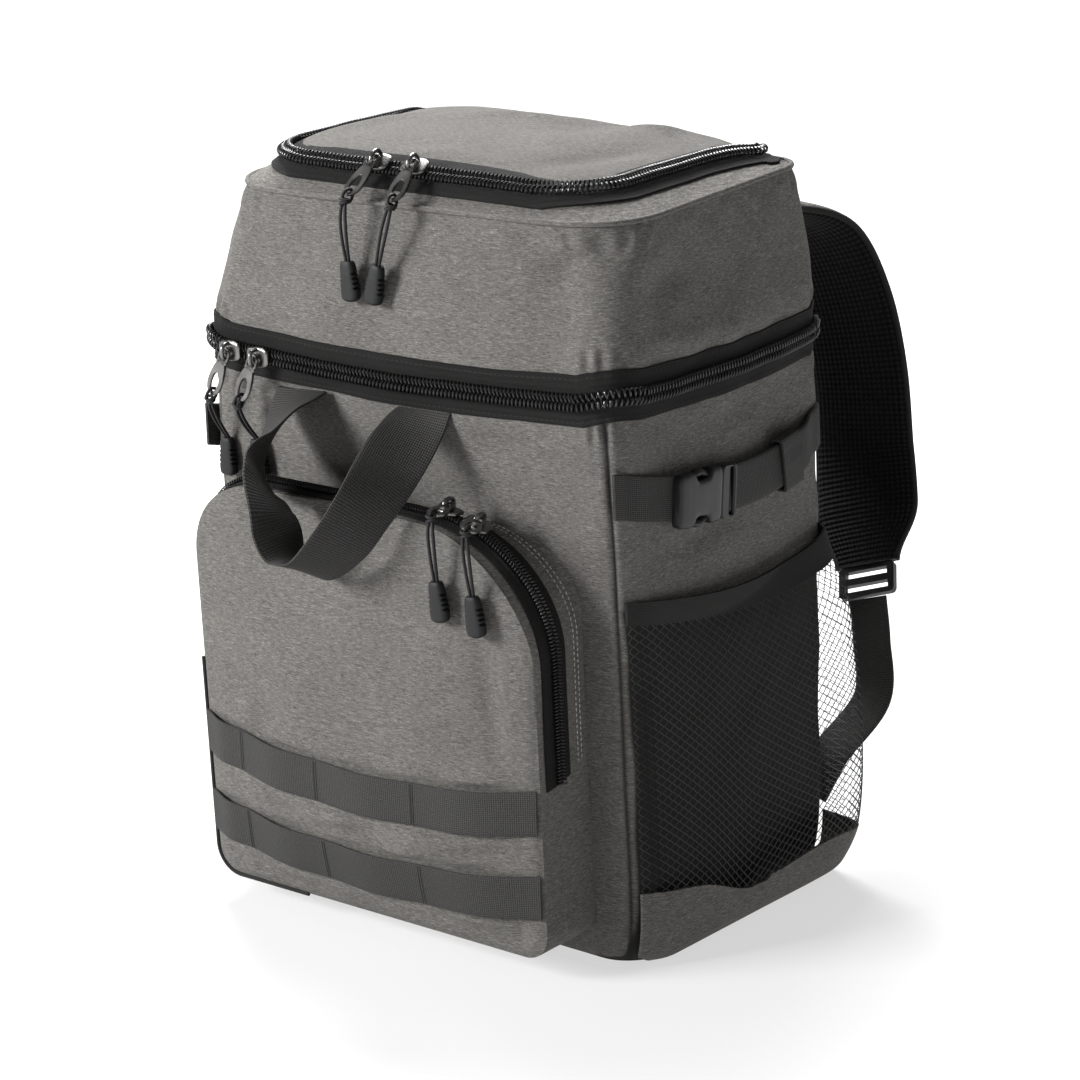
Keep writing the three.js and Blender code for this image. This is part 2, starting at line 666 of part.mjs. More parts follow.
// A flat webbing along frames with a centre, a direction across and one out of its face.
function ribbon(frames, width, thickness) {
  return loft(
    frames.map(({ centre, across, out, narrow = 1 }) =>
      [
        [-1, 0],
        [1, 0],
        [1, 1],
        [-1, 1],
      ].map(([side, top]) =>
        centre
          .clone()
          .addScaledVector(across, (side * width * narrow) / 2)
          .addScaledVector(out, top * thickness),
      ),
    ),
  );
}

// Webbing row on the pocket's face: tacked down at even places, loose between them.
function webbingRow(height) {
  const tacks = 4;
  const half = pocketWidth / 2 - 1;
  const rings = steps(-1, 1, 20).map((share) => {
    const centre = height - rowDip * (1 - share * share);
    const loose = Math.sin(((share + 1) / 2) * tacks * Math.PI) ** 2;
    const x = pocketCentre(height) + half * share;
    const lift = clearance + rowLoft * loose;
    const corner = (z, extra) => vec(x, pocketFace(x, z) - lift - extra, z);
    const [low, high] = [centre - webbing / 2, centre + webbing / 2];
    return [corner(low, 0), corner(high, 0), corner(high, webbingThickness), corner(low, webbingThickness)];
  });
  return loft(rings);
}

// Grab handle: a twisted loop of wide webbing that hangs from under the middle zip.
function grabHandle() {
  const rootHeight = zipHeight - bodyTapeWidth / 2 - 1.5;
  const frontOver = (x) => [-0.5, 0, 0.5].map((side) => bodyFrontAt(x + side * handleWidth, rootHeight));
  const root = (x) => Math.min(...frontOver(x)) - 2 * clearance;
  const table = handleRun.map((row, i) => ({ ...row, i }));
  const read = (column, i) => along(table, "i", column, i);
  const frames = steps(0, handleRun.length - 1, 24).map((i) => {
    const x = handleCentre + read("along", i) * handleSpan;
    const centre = vec(x, root(x) - read("out", i) * handleReach, rootHeight - read("down", i) * handleDrop);
    return { centre, across: vec(read("ax", i), read("ay", i), read("az", i)) };
  });
  const turned = frames.map(({ centre, across }, k) => {
    const from = frames[Math.max(0, k - 1)].centre;
    const to = frames[Math.min(frames.length - 1, k + 1)].centre;
    const sewn = k === 0 || k === frames.length - 1;
    const ahead = sewn ? vec(0, 0, k ? 1 : -1) : to.clone().sub(from).normalize();
    const side = across.clone().addScaledVector(ahead, -across.dot(ahead)).normalize();
    const out = side.clone().cross(ahead).normalize();
    return { centre, across: side, out };
  });
  return ribbon(turned, handleWidth, webbingThickness);
}

// Padded back panel against the wearer, on the body's back.
function backPanel() {
  const halfPanel = backPanelWidth / 2;
  const grid = (face) =>
    steps(0, 1, 8).map((v) =>
      steps(-1, 1, 6).map((u) => {
        const z = mix(backPanelBottom, backPanelTop, v);
        const rim = (1 - u ** 4) * (1 - (2 * v - 1) ** 8);
        const thick = face ? backPanelThickness * mix(0.45, 1, rim) : 0;
        return vec(u * halfPanel * mix(0.94, 1, 1 - v * v), backAt(z) + 2 * clearance + thick, z);
      }),
    );
  return sheet(grid(1), grid(0));
}

// The body's side at depth y and height z, found from its section there.
function bodySideAt(y, z) {
  const up = z / seamAt(y);
  let place = 2.5;
  for (let i = 0; i < 6; i += 1) {
    const here = bodyAt(place, up);
    const next = bodyAt(place + 1e-3, up);
    place = Math.min(3.4, Math.max(1.6, place + ((y - here.y) / (next.y - here.y)) * 1e-3));
  }
  return bodyAt(place, up).x;
}

// Side pocket surface: a share of its depth from the front seam, and a height.
const netFront = -0.47 * bodyDepth;
const netBack = 0.495 * bodyDepth;
const mouthAt = (back) => netHeight * along(mouthLine, "back", "rise", back);
const bandAt = (back) => bandHeight * along(bandLine, "back", "rise", back);
function netAt(back, z) {
  const up = clamp01(z / mouthAt(back));
  const plan = along(netPlan, "back", "off", back);
  const rise = along(netRise, "up", "off", up);
  const y = mix(netFront, netBack, back);
  const gape = mouthGap * Math.sin(Math.PI * back) ** 0.8 * smooth((up - 0.6) / 0.4);
  const stand = Math.max(netBulge * plan * rise, gape);
  const touching = clearance + bandThickness;
  return vec(bodySideAt(y, z) + touching + stand, y, z);
}

function sidePanel(low, high, rows, thickness) {
  const columns = [0, 0.07, 0.16, 0.3, 0.45, 0.6, 0.74, 0.86, 0.93, 0.975, 1];
  const grid = (inset) =>
    steps(0, 1, rows).map((v) =>
      columns.map((back) => {
        const z = mix(low(back), high(back), v);
        const point = netAt(back, z);
        return point.setX(point.x - inset);
      }),
    );
  return sheet(grid(0), grid(thickness));
}

const sideBand = () => sidePanel(() => 1, (back) => bandAt(back) - clearance, 3, bandThickness);
const sideNet = () => sidePanel(bandAt, (back) => mouthAt(back) - hemHeight - clearance, 8, netThickness);
function sideHem() {
  return sidePanel((back) => mouthAt(back) - hemHeight, mouthAt, 1, hemThickness);
}

// Height of the side strap's middle at depth y: it sags towards the buckle.
const strapEnds = [netFront - 6, netBack];
function strapLine(y) {
  const share = (y - strapEnds[0]) / (strapEnds[1] - strapEnds[0]);
  return strapHeight - strapSag * 4 * share * (1 - share) * (1 + 0.35 * share) - 3 * share;
}
const strapSlope = (y) => Math.atan2(strapLine(y + 1) - strapLine(y - 1), 2);

// Webbing along the side between two depths, off the body by lift(y).
function sideStrap(from, to, count, lift, thickness) {
  return loft(
    steps(from, to, count).map((y) => {
      const middle = strapLine(y);
      const x = (z) => bodySideAt(y, z) + lift(y);
      const [low, high] = [middle - webbing / 2, middle + webbing / 2];
      return [vec(x(low), y, low), vec(x(high), y, high), vec(x(high) + thickness, y, high), vec(x(low) + thickness, y, low)];
    }),
  );
}

const solidOf = (geometry) => {
  const bare = geometry.clone();
  bare.deleteAttribute("normal");
  bare.deleteAttribute("uv");
  const merged = mergeVertices(bare, 1e-4);
  return new wasm.Manifold(
    new wasm.Mesh({
      numProp: 3,
      vertProperties: new Float32Array(merged.attributes.position.array),
      triVerts: new Uint32Array(merged.index.array),
    }),
  );
};
const geometryOf = (solid) => {
  const mesh = solid.getMesh();
  const geometry = new THREE.BufferGeometry();
  geometry.setAttribute("position", new THREE.Float32BufferAttribute(mesh.vertProperties, 3));
  geometry.setIndex(Array.from(mesh.triVerts));
  geometry.computeVertexNormals();
  return geometry;
};

// An outline with rounded corners, centred on its own middle.
function roundedShape(width, height, radius) {
  const shape = new THREE.Shape();
  const [w, h] = [width / 2, height / 2];
  shape.moveTo(-w + radius, -h);
  shape.lineTo(w - radius, -h);
  shape.absarc(w - radius, -h + radius, radius, -Math.PI / 2, 0);
  shape.absarc(w - radius, h - radius, radius, 0, Math.PI / 2);
  shape.absarc(-w + radius, h - radius, radius, Math.PI / 2, Math.PI);
  shape.absarc(-w + radius, -h + radius, radius, Math.PI, 1.5 * Math.PI);
  return shape;
}

// A rectangular hole centred at x and y.
function rectangle(width, height, x, y) {
  const corners = [[-1, -1], [-1, 1], [1, 1], [1, -1]];
  return new THREE.Path(corners.map(([a, b]) => new THREE.Vector2(x + (a * width) / 2, y + (b * height) / 2)));
}

// A plate of an outline, from low to high along its own Z.
function plate(shape, low, high, curveSegments = 3) {
  const geometry = new THREE.ExtrudeGeometry(shape, { depth: high - low, bevelEnabled: false, curveSegments });
  return geometry.translate(0, 0, low);
}

// Buckle halves in their own frame: X along the strap, Y up the webbing, Z away from the bag.
function buckleSocket() {
  const outer = plate(roundedShape(socketLength, buckleHeight, 5), 0, buckleDepth);
  const cavityLength = prongLength + 2;
  const cavity = new THREE.BoxGeometry(cavityLength, buckleHeight - 4 * socketWall, buckleDepth - 2 * socketWall);
  cavity.translate((socketLength - cavityLength) / 2 + 1, 0, buckleDepth / 2);
  const window = new THREE.BoxGeometry(prongLength * 0.62, buckleHeight, buckleDepth - 2 * socketWall);
  window.translate(socketLength / 2 - prongLength * 0.62, 0, buckleDepth / 2);
  const slot = new THREE.BoxGeometry(4, webbing + 1.5, buckleDepth * 2);
  slot.translate(-socketLength / 2 + 7.5, 0, buckleDepth / 2);
  return geometryOf(solidOf(outer).subtract(solidOf(cavity)).subtract(solidOf(window)).subtract(solidOf(slot)));
}
function bucklePlug() {
  const body = plate(roundedShape(plugLength - prongLength + 6, buckleHeight - 1, 3), 0, buckleDepth);
  body.translate((prongLength + 6) / 2 - 3, 0, 0);
  const slot = new THREE.BoxGeometry(3.6, webbing + 1.5, buckleDepth * 2);
  slot.translate(prongLength / 2 + 7, 0, buckleDepth / 2);
  const prongDepth = buckleDepth - 2 * socketWall - 2 * clearance;
  const reach = (buckleHeight - 4 * socketWall) / 2 - clearance - prongWidth / 2;
  const fingers = [-1, 1, 0].map((side) => {
    const finger = new THREE.BoxGeometry(prongLength, side ? prongWidth : prongWidth * 0.8, prongDepth);
    return finger.translate(-prongLength / 2 + 3.5, side * reach, buckleDepth / 2);
  });
  let solid = solidOf(body).subtract(solidOf(slot));
  fingers.forEach((finger) => {
    solid = solid.add(solidOf(finger));
  });
  return geometryOf(solid);
}

// Keeper loop: a flat ring of webbing round the strap, in the buckle's frame.
function keeperLoop(hollow) {
  const outer = roundedShape(webbing + 2 * webbingThickness + 3, hollow + 2 * webbingThickness, 2);
  outer.holes.push(rectangle(webbing + 3, hollow, 0, 0));
  const loop = plate(outer, 0, keeperLength, 2);
  return loop;
}

// Side straps, mirrored by side = -1 for the left.
function sideStraps(side, label) {
  const group = new THREE.Group();
  group.scale.x = side;
  const baseLift = clearance;
  const buckleLift = 3;
  const sewnLength = 8;
  const joinY = buckleStart + socketLength;
  const joinZ = strapLine(joinY);
  const joinSlope = strapSlope(joinY);
  const buckle = new THREE.Group();
  buckle.position.set(bodySideAt(joinY, joinZ) + buckleLift, joinY, joinZ);
  buckle.quaternion.setFromRotationMatrix(
    new THREE.Matrix4().makeBasis(
      vec(0, Math.cos(joinSlope), Math.sin(joinSlope)),
      vec(0, -Math.sin(joinSlope), Math.cos(joinSlope)),
      vec(1, 0, 0),
    ),
  );
  const socket = named(`buckle_socket_${label}`, buckleSocket(), darkPlastic);
  const plug = named(`buckle_plug_${label}`, bucklePlug(), darkPlastic);
  socket.position.x = -socketLength / 2;
  plug.position.x = clearance + 1.5;
  buckle.add(socket, plug);
  group.add(buckle);
  const frontLift = (y) => baseLift + 4.4 * smooth((y - strapEnds[0] - sewnLength) / 34);
  const frontStrap = sideStrap(strapEnds[0], buckleStart - 3 * clearance, 5, frontLift, webbingThickness);
  group.add(named(`side_strap_front_${label}`, frontStrap, blackWebbing));
  const tailStart = joinY + plugLength - prongLength + 8;
  const tailThickness = 2 * webbingThickness;
  const keeperMiddle = keeperStart + keeperLength / 2;
  const keeperGap = tailThickness + 2.4;
  const rearLift = (y) => baseLift + (webbingThickness + 3) * smooth((strapEnds[1] - sewnLength - y) / 18);
  group.add(
    named(`side_strap_rear_${label}`, sideStrap(tailStart, strapEnds[1], 8, rearLift, tailThickness), blackWebbing),
  );
  const z = strapLine(keeperMiddle);
  const slope = strapSlope(keeperMiddle);
  const keeper = named(`keeper_loop_${label}`, keeperLoop(keeperGap), blackWebbing);
  const turned = new THREE.Matrix4().makeBasis(
    vec(0, -Math.sin(slope), Math.cos(slope)),
    vec(1, 0, 0),
    vec(0, Math.cos(slope), Math.sin(slope)),
  );
  keeper.quaternion.setFromRotationMatrix(turned);
  const strapMiddle = bodySideAt(keeperMiddle, z) + rearLift(keeperMiddle) + tailThickness / 2;
  keeper.position.set(strapMiddle, keeperStart, z - (Math.sin(slope) * keeperLength) / 2);
  group.add(keeper);
  return group;
}

// A shoulder strap, mirrored by side = -1 for the left.
function shoulderStrap(side, label) {
  const group = new THREE.Group();
  group.scale.x = side;
  const rootY = backAt(padRootHeight) + backPanelThickness + 3 * clearance;
  const table = padRun.map((row, i) => ({ ...row, i }));
  const read = (column, i) => along(table, "i", column, i);
  const centreAt = (i) =>
    vec(
      padRootCentre + read("out", i) * padSpread,
      rootY + read("back", i) * padReach,
      padRootHeight - read("down", i) * padDrop,
    );
  const last = padRun.length - 1;
  const frameAt = (i) => {
    const ahead = centreAt(Math.min(last, i + 0.02)).sub(centreAt(Math.max(0, i - 0.02))).normalize();
    const across = vec(1, 0, 0).addScaledVector(ahead, -ahead.x).normalize();
    return { centre: centreAt(i), ahead, across, out: across.clone().cross(ahead).normalize() };
  };
  const section = [
    [-1, 0.45], [-1, -0.45], [-0.86, -1], [0.86, -1], [1, -0.45], [1, 0.45], [0.86, 1], [-0.86, 1],
  ];
  const pad = loft(
    steps(0, last, 16).map((i) => {
      const { centre, across, out } = frameAt(i);
      const narrow = smooth((i / last - 0.86) / 0.14);
      const [w, h] = [mix(padWidth, padEndWidth, narrow) / 2, (padThickness / 2) * mix(1, 0.55, narrow)];
      return section.map(([a, b]) => {
        const point = centre.clone().addScaledVector(across, a * w).addScaledVector(out, b * h);
        return point.setY(i === 0 ? rootY : Math.max(rootY, point.y));
      });
    }),
  );
  group.add(named(`shoulder_pad_${label}`, pad, heather));

  const end = frameAt(last);
  const lockShape = roundedShape(lockLength, lockWidth, 3);
  const slotWidth = 4.4;
  [-1, 1].forEach((row) => {
    lockShape.holes.push(rectangle(slotWidth, webbing + 2 + row / 2, row * 4.4, 0));
  });
  const lock = named(`ladder_lock_${label}`, plate(lockShape, -lockThickness / 2, lockThickness / 2), darkPlastic);
  const basis = new THREE.Matrix4().makeBasis(end.ahead, end.across, end.ahead.clone().cross(end.across));
  lock.quaternion.setFromRotationMatrix(basis);
  const lockMiddle = end.centre.clone().addScaledVector(end.ahead, lockLength / 2 + clearance);
  lock.position.copy(lockMiddle);
  group.add(lock);

  const top = end.centre.clone().addScaledVector(end.ahead, lockLength + 5 * clearance);
  const anchorY = backAt(anchorHeight) + webbingThickness / 2 + clearance;
  const foot = vec(bodyWidth / 2 - anchorInset, anchorY, anchorHeight);
  const slack = [
    top,
    top.clone().addScaledVector(end.ahead, 22).add(vec(0, 4, -6)),
    vec(mix(top.x, foot.x, 0.5) + anchorSway, mix(top.y, foot.y, 0.5) + 5, mix(top.z, foot.z, 0.5)),
    vec(foot.x + anchorSway / 2, foot.y + 8, foot.z + 24),
    foot,
  ];
  const curve = new THREE.CatmullRomCurve3(slack);
  const frames = steps(0, 1, 12).map((share) => {
    const ahead = curve.getTangent(share);
    const across = vec(1, 0, 0).addScaledVector(ahead, -ahead.x).normalize();
    const out = across.clone().cross(ahead).normalize();
    return { centre: curve.getPoint(share).addScaledVector(out, -webbingThickness / 2), across, out };
  });
  group.add(named(`shoulder_webbing_${label}`, ribbon(frames, webbing, webbingThickness), blackWebbing));
  return group;
}

// Zip slider in its own frame: X along the chain, Z away from the bag, with an upright bridge.
function sliderSolid() {
  const body = plate(roundedShape(sliderLength, sliderWidth, 3), 0, sliderThickness, 2);
  const arch = new THREE.Shape();
  const [reach, rise, wire] = [sliderWidth / 2 - 0.6, bridgeHeight, bridgeWire];
  arch.moveTo(-reach, -0.5);
  arch.lineTo(-reach, rise - wire);
  arch.lineTo(-reach + wire, rise);
  arch.lineTo(reach - wire, rise);
  arch.lineTo(reach, rise - wire);
  arch.lineTo(reach, -0.5);
  arch.lineTo(reach - wire, -0.5);
  arch.lineTo(reach - wire, rise - wire);
  arch.lineTo(-reach + wire, rise - wire);
  arch.lineTo(-reach + wire, -0.5);
  arch.closePath();
  const bridge = plate(arch, -bridgeWire / 2, bridgeWire / 2, 1);
  bridge.rotateX(Math.PI / 2).rotateZ(Math.PI / 2).translate(0, 0, sliderThickness);
  return geometryOf(solidOf(body).add(solidOf(bridge)));
}

// Pull tab in its own frame: it hangs along -Y from its eye at the origin, its face is Z.
function tabGeometry(length) {
  const shape = new THREE.Shape();
  const [w, neck, long] = [tabWidth / 2, 4, length];
  shape.moveTo(neck, 1.6);
  shape.lineTo(-neck, 1.6);
  shape.lineTo(-w, -long * 0.42);
  shape.absarc(0, -long + w, w, Math.PI, 2 * Math.PI, false);
  shape.lineTo(w, -long * 0.42);
  shape.closePath();
  const hole = new THREE.Path();
  hole.absellipse(0, -long + w + 2.4, w - 2.2, w + 0.4, 0, 2 * Math.PI, true);
  shape.holes.push(hole);
  shape.holes.push(rectangle(5.4, 3.6, 0, -3.2));
  return plate(shape, -tabThickness / 2, tabThickness / 2, 5);
}

// Rubber end in its own frame: it hangs along -Y from its top at the origin.
function cordEnd() {
  const section = (share, y) => {
    const [w, t] = [(endWidth / 2) * share, (endThickness / 2) * Math.min(1, share + 0.15)];
    return [[-w, 0], [-w * 0.7, t], [w * 0.7, t], [w, 0], [w * 0.7, -t], [-w * 0.7, -t]].map(([x, z]) => vec(x, y, z));
  };
  const rows = [
    { share: 0.78, down: 0 },
    { share: 0.86, down: 0.2 },
    { share: 1, down: 0.55 },
    { share: 1, down: 0.82 },
    { share: 0.6, down: 1 },
  ];
  return loft(rows.map(({ share, down }) => section(share, -down * endLength)));
}

const zips = {
  lid: { run: (share) => [mix(0, 1, share), lidEdge(share)], surface: crownAt, lift: lidChainLift + bodyChainDepth },
  middle: { run: (share) => [mix(0, 1, share), zipShare(share)], surface: bodyAt, lift: chainLift + bodyChainDepth },
  pocket: { run: (share) => [mix(5, 4, share), pocketZipDepth], surface: pocketAt, lift: chainLift + pocketChainDepth },
};

// Front of the body or of the pocket, whichever a pull hangs against.
function restFront(x, z, overPocket) {
  const reach = [-endWidth / 2, 0, endWidth / 2];
  const front = (at) => (overPocket ? pocketFace(at, Math.min(z, pocketTop)) : bodyFrontAt(at, z));
  return Math.min(...reach.map((side) => front(x + side)));
}

// One pull: slider on its chain, tab on the slider's bridge, doubled cord and rubber end.
function pull({ name, zip, at, fall, hang, long, cord }) {
  const { run, surface, lift } = zips[zip];
  const [u, v] = run(at);
  const out = outward(surface, u, v);
  const ahead = surface(u + 1e-3, v).sub(surface(u, v)).normalize();
  if (ahead.x < 0) ahead.negate();
  const seat = surface(u, v).addScaledVector(out, lift + clearance);
  const group = new THREE.Group();
  const slider = named(`slider_${name}`, sliderSolid(), blackNickel);
  slider.quaternion.setFromRotationMatrix(new THREE.Matrix4().makeBasis(ahead, out.clone().cross(ahead), out));
  slider.position.copy(seat);
  group.add(slider);

  const down = vec(...fall).normalize();
  const flat = ahead.clone().addScaledVector(down, -ahead.dot(down)).normalize();
  const up = down.clone().negate();
  const tab = named(`pull_tab_${name}`, tabGeometry(long * tabLength), blackNickel);
  tab.quaternion.setFromRotationMatrix(new THREE.Matrix4().makeBasis(flat, up, flat.clone().cross(up)));
  const barRise = sliderThickness + (bridgeHeight - bridgeWire) / 2;
  tab.position.copy(seat).addScaledVector(out, barRise);
  group.add(tab);

  const cordTop = tab.position.clone().addScaledVector(down, long * tabLength + 2 * clearance);
  const cordBottom = cordTop.clone().add(vec(hang[0], 0, hang[1]).multiplyScalar(cord * cordLength));
  const standOff = endThickness / 2 + 3 * clearance;
  const restZ = cordBottom.z - endLength;
  cordBottom.y = restFront(cordBottom.x, restZ, zip === "pocket") - standOff;
  const bend = cordTop.clone().addScaledVector(down, cordLength * 0.25);
  const line = new THREE.QuadraticBezierCurve3(cordTop, bend, cordBottom);
  const rings = steps(0, 1, 5).map((share) => {
    const middle = line.getPoint(share);
    const tangent = line.getTangent(share);
    const wide = ahead.clone().addScaledVector(tangent, -ahead.dot(tangent)).normalize();
    const thick = wide.clone().cross(tangent).normalize();
    return steps(0, 7, 7).map((k) =>
      middle
        .clone()
        .addScaledVector(wide, (cordWidth / 2) * Math.cos((k * Math.PI) / 4))
        .addScaledVector(thick, (cordThickness / 2) * Math.sin((k * Math.PI) / 4)),
    );
  });
  group.add(named(`pull_cord_${name}`, loft(rings), blackWebbing));

  const tip = vec(hang[0], 0, hang[1]).normalize();
  const wide = vec(1, 0, 0).addScaledVector(tip, -tip.x).normalize();
  const end = named(`cord_end_${name}`, cordEnd(), darkRubber);
  const rise = tip.clone().negate();
  end.quaternion.setFromRotationMatrix(new THREE.Matrix4().makeBasis(wide, rise, wide.clone().cross(rise)));
  end.position.copy(cordBottom).addScaledVector(tip, 2 * clearance);
  group.add(end);
  return group;
}

const backpack = new THREE.Group();
backpack.add(
  named("lower_body", lowerBody(), heather),
  named("upper_body", upperBody(), heather),
  named("lid_panel", lidPanel(), heather),
  named("back_panel", backPanel(), blackMesh),
  named("front_pocket", frontPocket(), heather),
  named("middle_zip_tape", stripOn(bodyAt, middleRun, tapeSection(bodyTapeWidth, clearance)), blackTape),
  named("middle_zip_chain", stripOn(bodyAt, middleRun, chainSection(bodyChainWidth, bodyChainDepth, chainLift)), blackCoil),
  named("lid_zip_tape", stripOn(crownAt, lidRun, tapeSection(lidTapeWidth, 2 * clearance)), blackTape),
  named("lid_zip_chain", stripOn(crownAt, lidRun, chainSection(bodyChainWidth, bodyChainDepth, lidChainLift)), blackCoil),
  named("pocket_zip_tape", stripOn(pocketAt, pocketRun(), tapeSection(pocketTapeWidth, clearance)), blackTape),
  named("pocket_zip_chain", stripOn(pocketAt, pocketRun(), chainSection(pocketChainWidth, pocketChainDepth, chainLift)), blackCoil),
  named("webbing_row_upper", webbingRow(upperRowHeight), blackWebbing),
  named("webbing_row_lower", webbingRow(lowerRowHeight), blackWebbing),
  named("grab_handle", grabHandle(), blackWebbing),
);
pulls.forEach((row) => backpack.add(pull(row)));
[
  [-1, "left"],
  [1, "right"],
].forEach(([side, label]) => {
  const pocket = new THREE.Group();
  pocket.scale.x = side;
  pocket.add(
    named(`side_band_${label}`, sideBand(), heather),
    named(`side_net_${label}`, sideNet(), blackMesh),
    named(`side_hem_${label}`, sideHem(), blackWebbing),
  );
  backpack.add(pocket, sideStraps(side, label), shoulderStrap(side, label));
});

export default backpack;
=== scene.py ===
# Looks of the cooler backpack: cloth, zips, webbing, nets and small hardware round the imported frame.
# Surface functions are in millimetres, in the frame of the CAD; meshes are in metres. Places round
# an outline run from 0 to 8: even numbers start its sides, odd ones its corners.
import math

import bpy
import numpy as np
from mathutils import Matrix


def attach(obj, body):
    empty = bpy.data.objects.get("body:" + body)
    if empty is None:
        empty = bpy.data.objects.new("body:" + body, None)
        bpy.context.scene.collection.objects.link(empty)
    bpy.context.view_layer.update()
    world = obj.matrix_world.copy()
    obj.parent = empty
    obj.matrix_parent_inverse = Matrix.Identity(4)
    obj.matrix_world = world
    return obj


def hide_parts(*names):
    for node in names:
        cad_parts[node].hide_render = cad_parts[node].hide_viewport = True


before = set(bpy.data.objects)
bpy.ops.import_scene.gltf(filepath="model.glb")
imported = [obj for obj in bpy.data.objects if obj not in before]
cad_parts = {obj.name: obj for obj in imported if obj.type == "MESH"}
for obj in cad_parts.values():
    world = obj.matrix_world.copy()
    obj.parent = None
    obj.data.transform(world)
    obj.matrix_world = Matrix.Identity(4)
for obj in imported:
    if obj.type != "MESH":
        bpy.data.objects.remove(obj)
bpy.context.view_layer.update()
scene = bpy.context.scene
unit = 0.001
print("frame loaded")

camera = {"azimuth": 37.8, "elevation": 17.1, "roll": -1.8, "lens": 103, "sensor": 36,
          "place": (1.06947, -1.35130, 0.73035)}


# The camera looks along minus B, the unit vector of its azimuth and elevation; its right and up
# vectors are turned about B by the roll.
def makeCamera():
    a, e, r = (math.radians(camera[k]) for k in ("azimuth", "elevation", "roll"))
    back = np.array([math.sin(a) * math.cos(e), -math.cos(a) * math.cos(e), math.sin(e)])
    right0 = np.array([math.cos(a), math.sin(a), 0.0])
    up0 = np.cross(back, right0)
    right = math.cos(r) * right0 + math.sin(r) * up0
    up = -math.sin(r) * right0 + math.cos(r) * up0
    data = bpy.data.cameras.new("camera")
    data.lens = camera["lens"]
    data.sensor_width = camera["sensor"]
    made = bpy.data.objects.new("camera", data)
    scene.collection.objects.link(made)
    rows = np.eye(4)
    rows[:3, :3] = np.stack([right, up, back], 1)
    rows[:3, 3] = camera["place"]
    made.matrix_world = Matrix(rows.tolist())
    scene.camera = made


makeCamera()

# Sizes of the frame that the looks follow
clearance = 0.3
bodyWidth = 294
bodyDepth = 192
seamHeight = 415.5
seamSlope = 7.5
cornerRadius = 31
paddedWall = 5
frontBow = 3.5
sideBow = 2.5
zipHeight = 320
crownRise = 18
lidShift = -4
lidLean = 0.028
lidDome = 4
hingeFlare = 0.85
bodyTapeWidth = 28
webbing = 25.5
webbingThickness = 1.6
pipingRadius = {"crown": 1.7, "pocket": 1.3}

bodySections = {
    "up": [0, 0.02, 0.08, 0.26, 0.5, 0.7, 0.77, 0.83, 0.92, 0.975, 1],
    "wide": [1.02, 1.05, 1.064, 1.05, 1.034, 1.018, 1.005, 1.008, 0.987, 0.962, 0.945],
    "front": [0.9, 0.95, 0.97, 0.98, 0.985, 0.995, 0.995, 0.992, 0.945, 0.885, 0.852],
    "back": [1.0, 1.035, 1.05, 1.06, 1.07, 1.08, 1.083, 1.083, 1.067, 1.045, 1.03],
    "nose": [0.8, 0.8, 0.7, 0.65, 0.65, 0.7, 0.75, 0.85, 1.0, 1.15, 1.25],
    "heel": [0.8, 0.75, 0.65, 0.55, 0.5, 0.48, 0.48, 0.48, 0.5, 0.55, 0.6],
}
crownRings = {
    "at": [0, 1, 2, 3, 4, 5],
    "up": [0, 0.3, 0.62, 0.88, 1.0, 1.06],
    "wide": [0.945, 0.85, 0.775, 0.695, 0.5, 0.25],
    "front": [0.852, 0.786, 0.703, 0.6, 0.38, 0.12],
    "back": [1.03, 1.0, 0.965, 0.92, 0.72, 0.43],
    "nose": [1.25, 1.2, 1.15, 1.1, 0.9, 0.5],
    "heel": [0.6, 0.7, 0.8, 0.85, 0.8, 0.5],
}
zipWave = {
    "side": [-0.5, 0.5, 1.5, 2.5, 3.5, 4.5],
    "rise": [1.018, 0.997, 1.018, 1.008, 1.022, 1.022],
}
# x, y, z, spread in x, y and z, push, and whether it is mirrored
bodyDents = [
    (0.74, -0.95, 0.93, 0.1, 0.3, 0.07, -0.9, False),
    (-0.86, -0.9, 0.93, 0.16, 0.3, 0.06, -0.8, False),
    (0.1, -1, 0.87, 0.5, 0.3, 0.05, 0.25, False),
    (1, -0.1, 0.91, 0.2, 0.3, 0.04, -0.6, True),
    (1, 0.2, 0.84, 0.2, 0.5, 0.02, 0.4, True),
    (0.95, -0.8, 0.55, 0.12, 0.35, 0.1, -0.5, True),
    (1, -0.1, 0.66, 0.2, 0.4, 0.05, -0.5, True),
]
lidWaves = [
    (-0.1, 0.1, 0.5, 0.6, 0.9),
    (0.18, 0.7, 0.1, 0.3, -0.5),
    (0.36, 0.65, 0.1, 0.3, 0.4),
    (0.5, -0.1, 0.14, 0.4, -0.4),
]
# Folds of the body's cloth: line from a to b, half width and height in millimetres
bodyFolds = [
    ((92, -92, 386), (140, -70, 402), 6, -1.6),
    ((84, -93, 392), (128, -80, 410), 5, 1.0),
    ((135, -70, 370), (148, -20, 385), 9, -1.2),
    ((-120, -92, 372), (-60, -95, 380), 9, -0.9),
    ((-130, -80, 392), (-96, -92, 396), 7, -1.2),
    ((-40, -96, 352), (60, -96, 344), 10, -0.7),
    ((20, -96, 338), (110, -94, 332), 8, 0.8),
    ((120, -80, 300), (152, -30, 290), 7, -1.2),
    ((128, -84, 290), (152, -50, 262), 5, 0.9),
    ((150, -20, 292), (153, 40, 300), 8, -1.0),
    ((60, -96, 292), (118, -92, 284), 7, -1.0),
    ((132, -78, 250), (136, -76, 170), 6, -0.9),
    ((152, -60, 232), (155, 20, 240), 8, -0.9),
    ((146, -70, 348), (150, 30, 342), 7, 0.8),
    ((-90, -96, 300), (-30, -96, 306), 7, -0.8),
    ((-146, -40, 290), (-150, 40, 300), 9, -1.0),
    ((60, 103, 250), (-60, 103, 240), 14, -0.6),
]


# The value a share of the way from a to b: a + (b - a) share.
def mix(a, b, share):
    return a + (b - a) * share


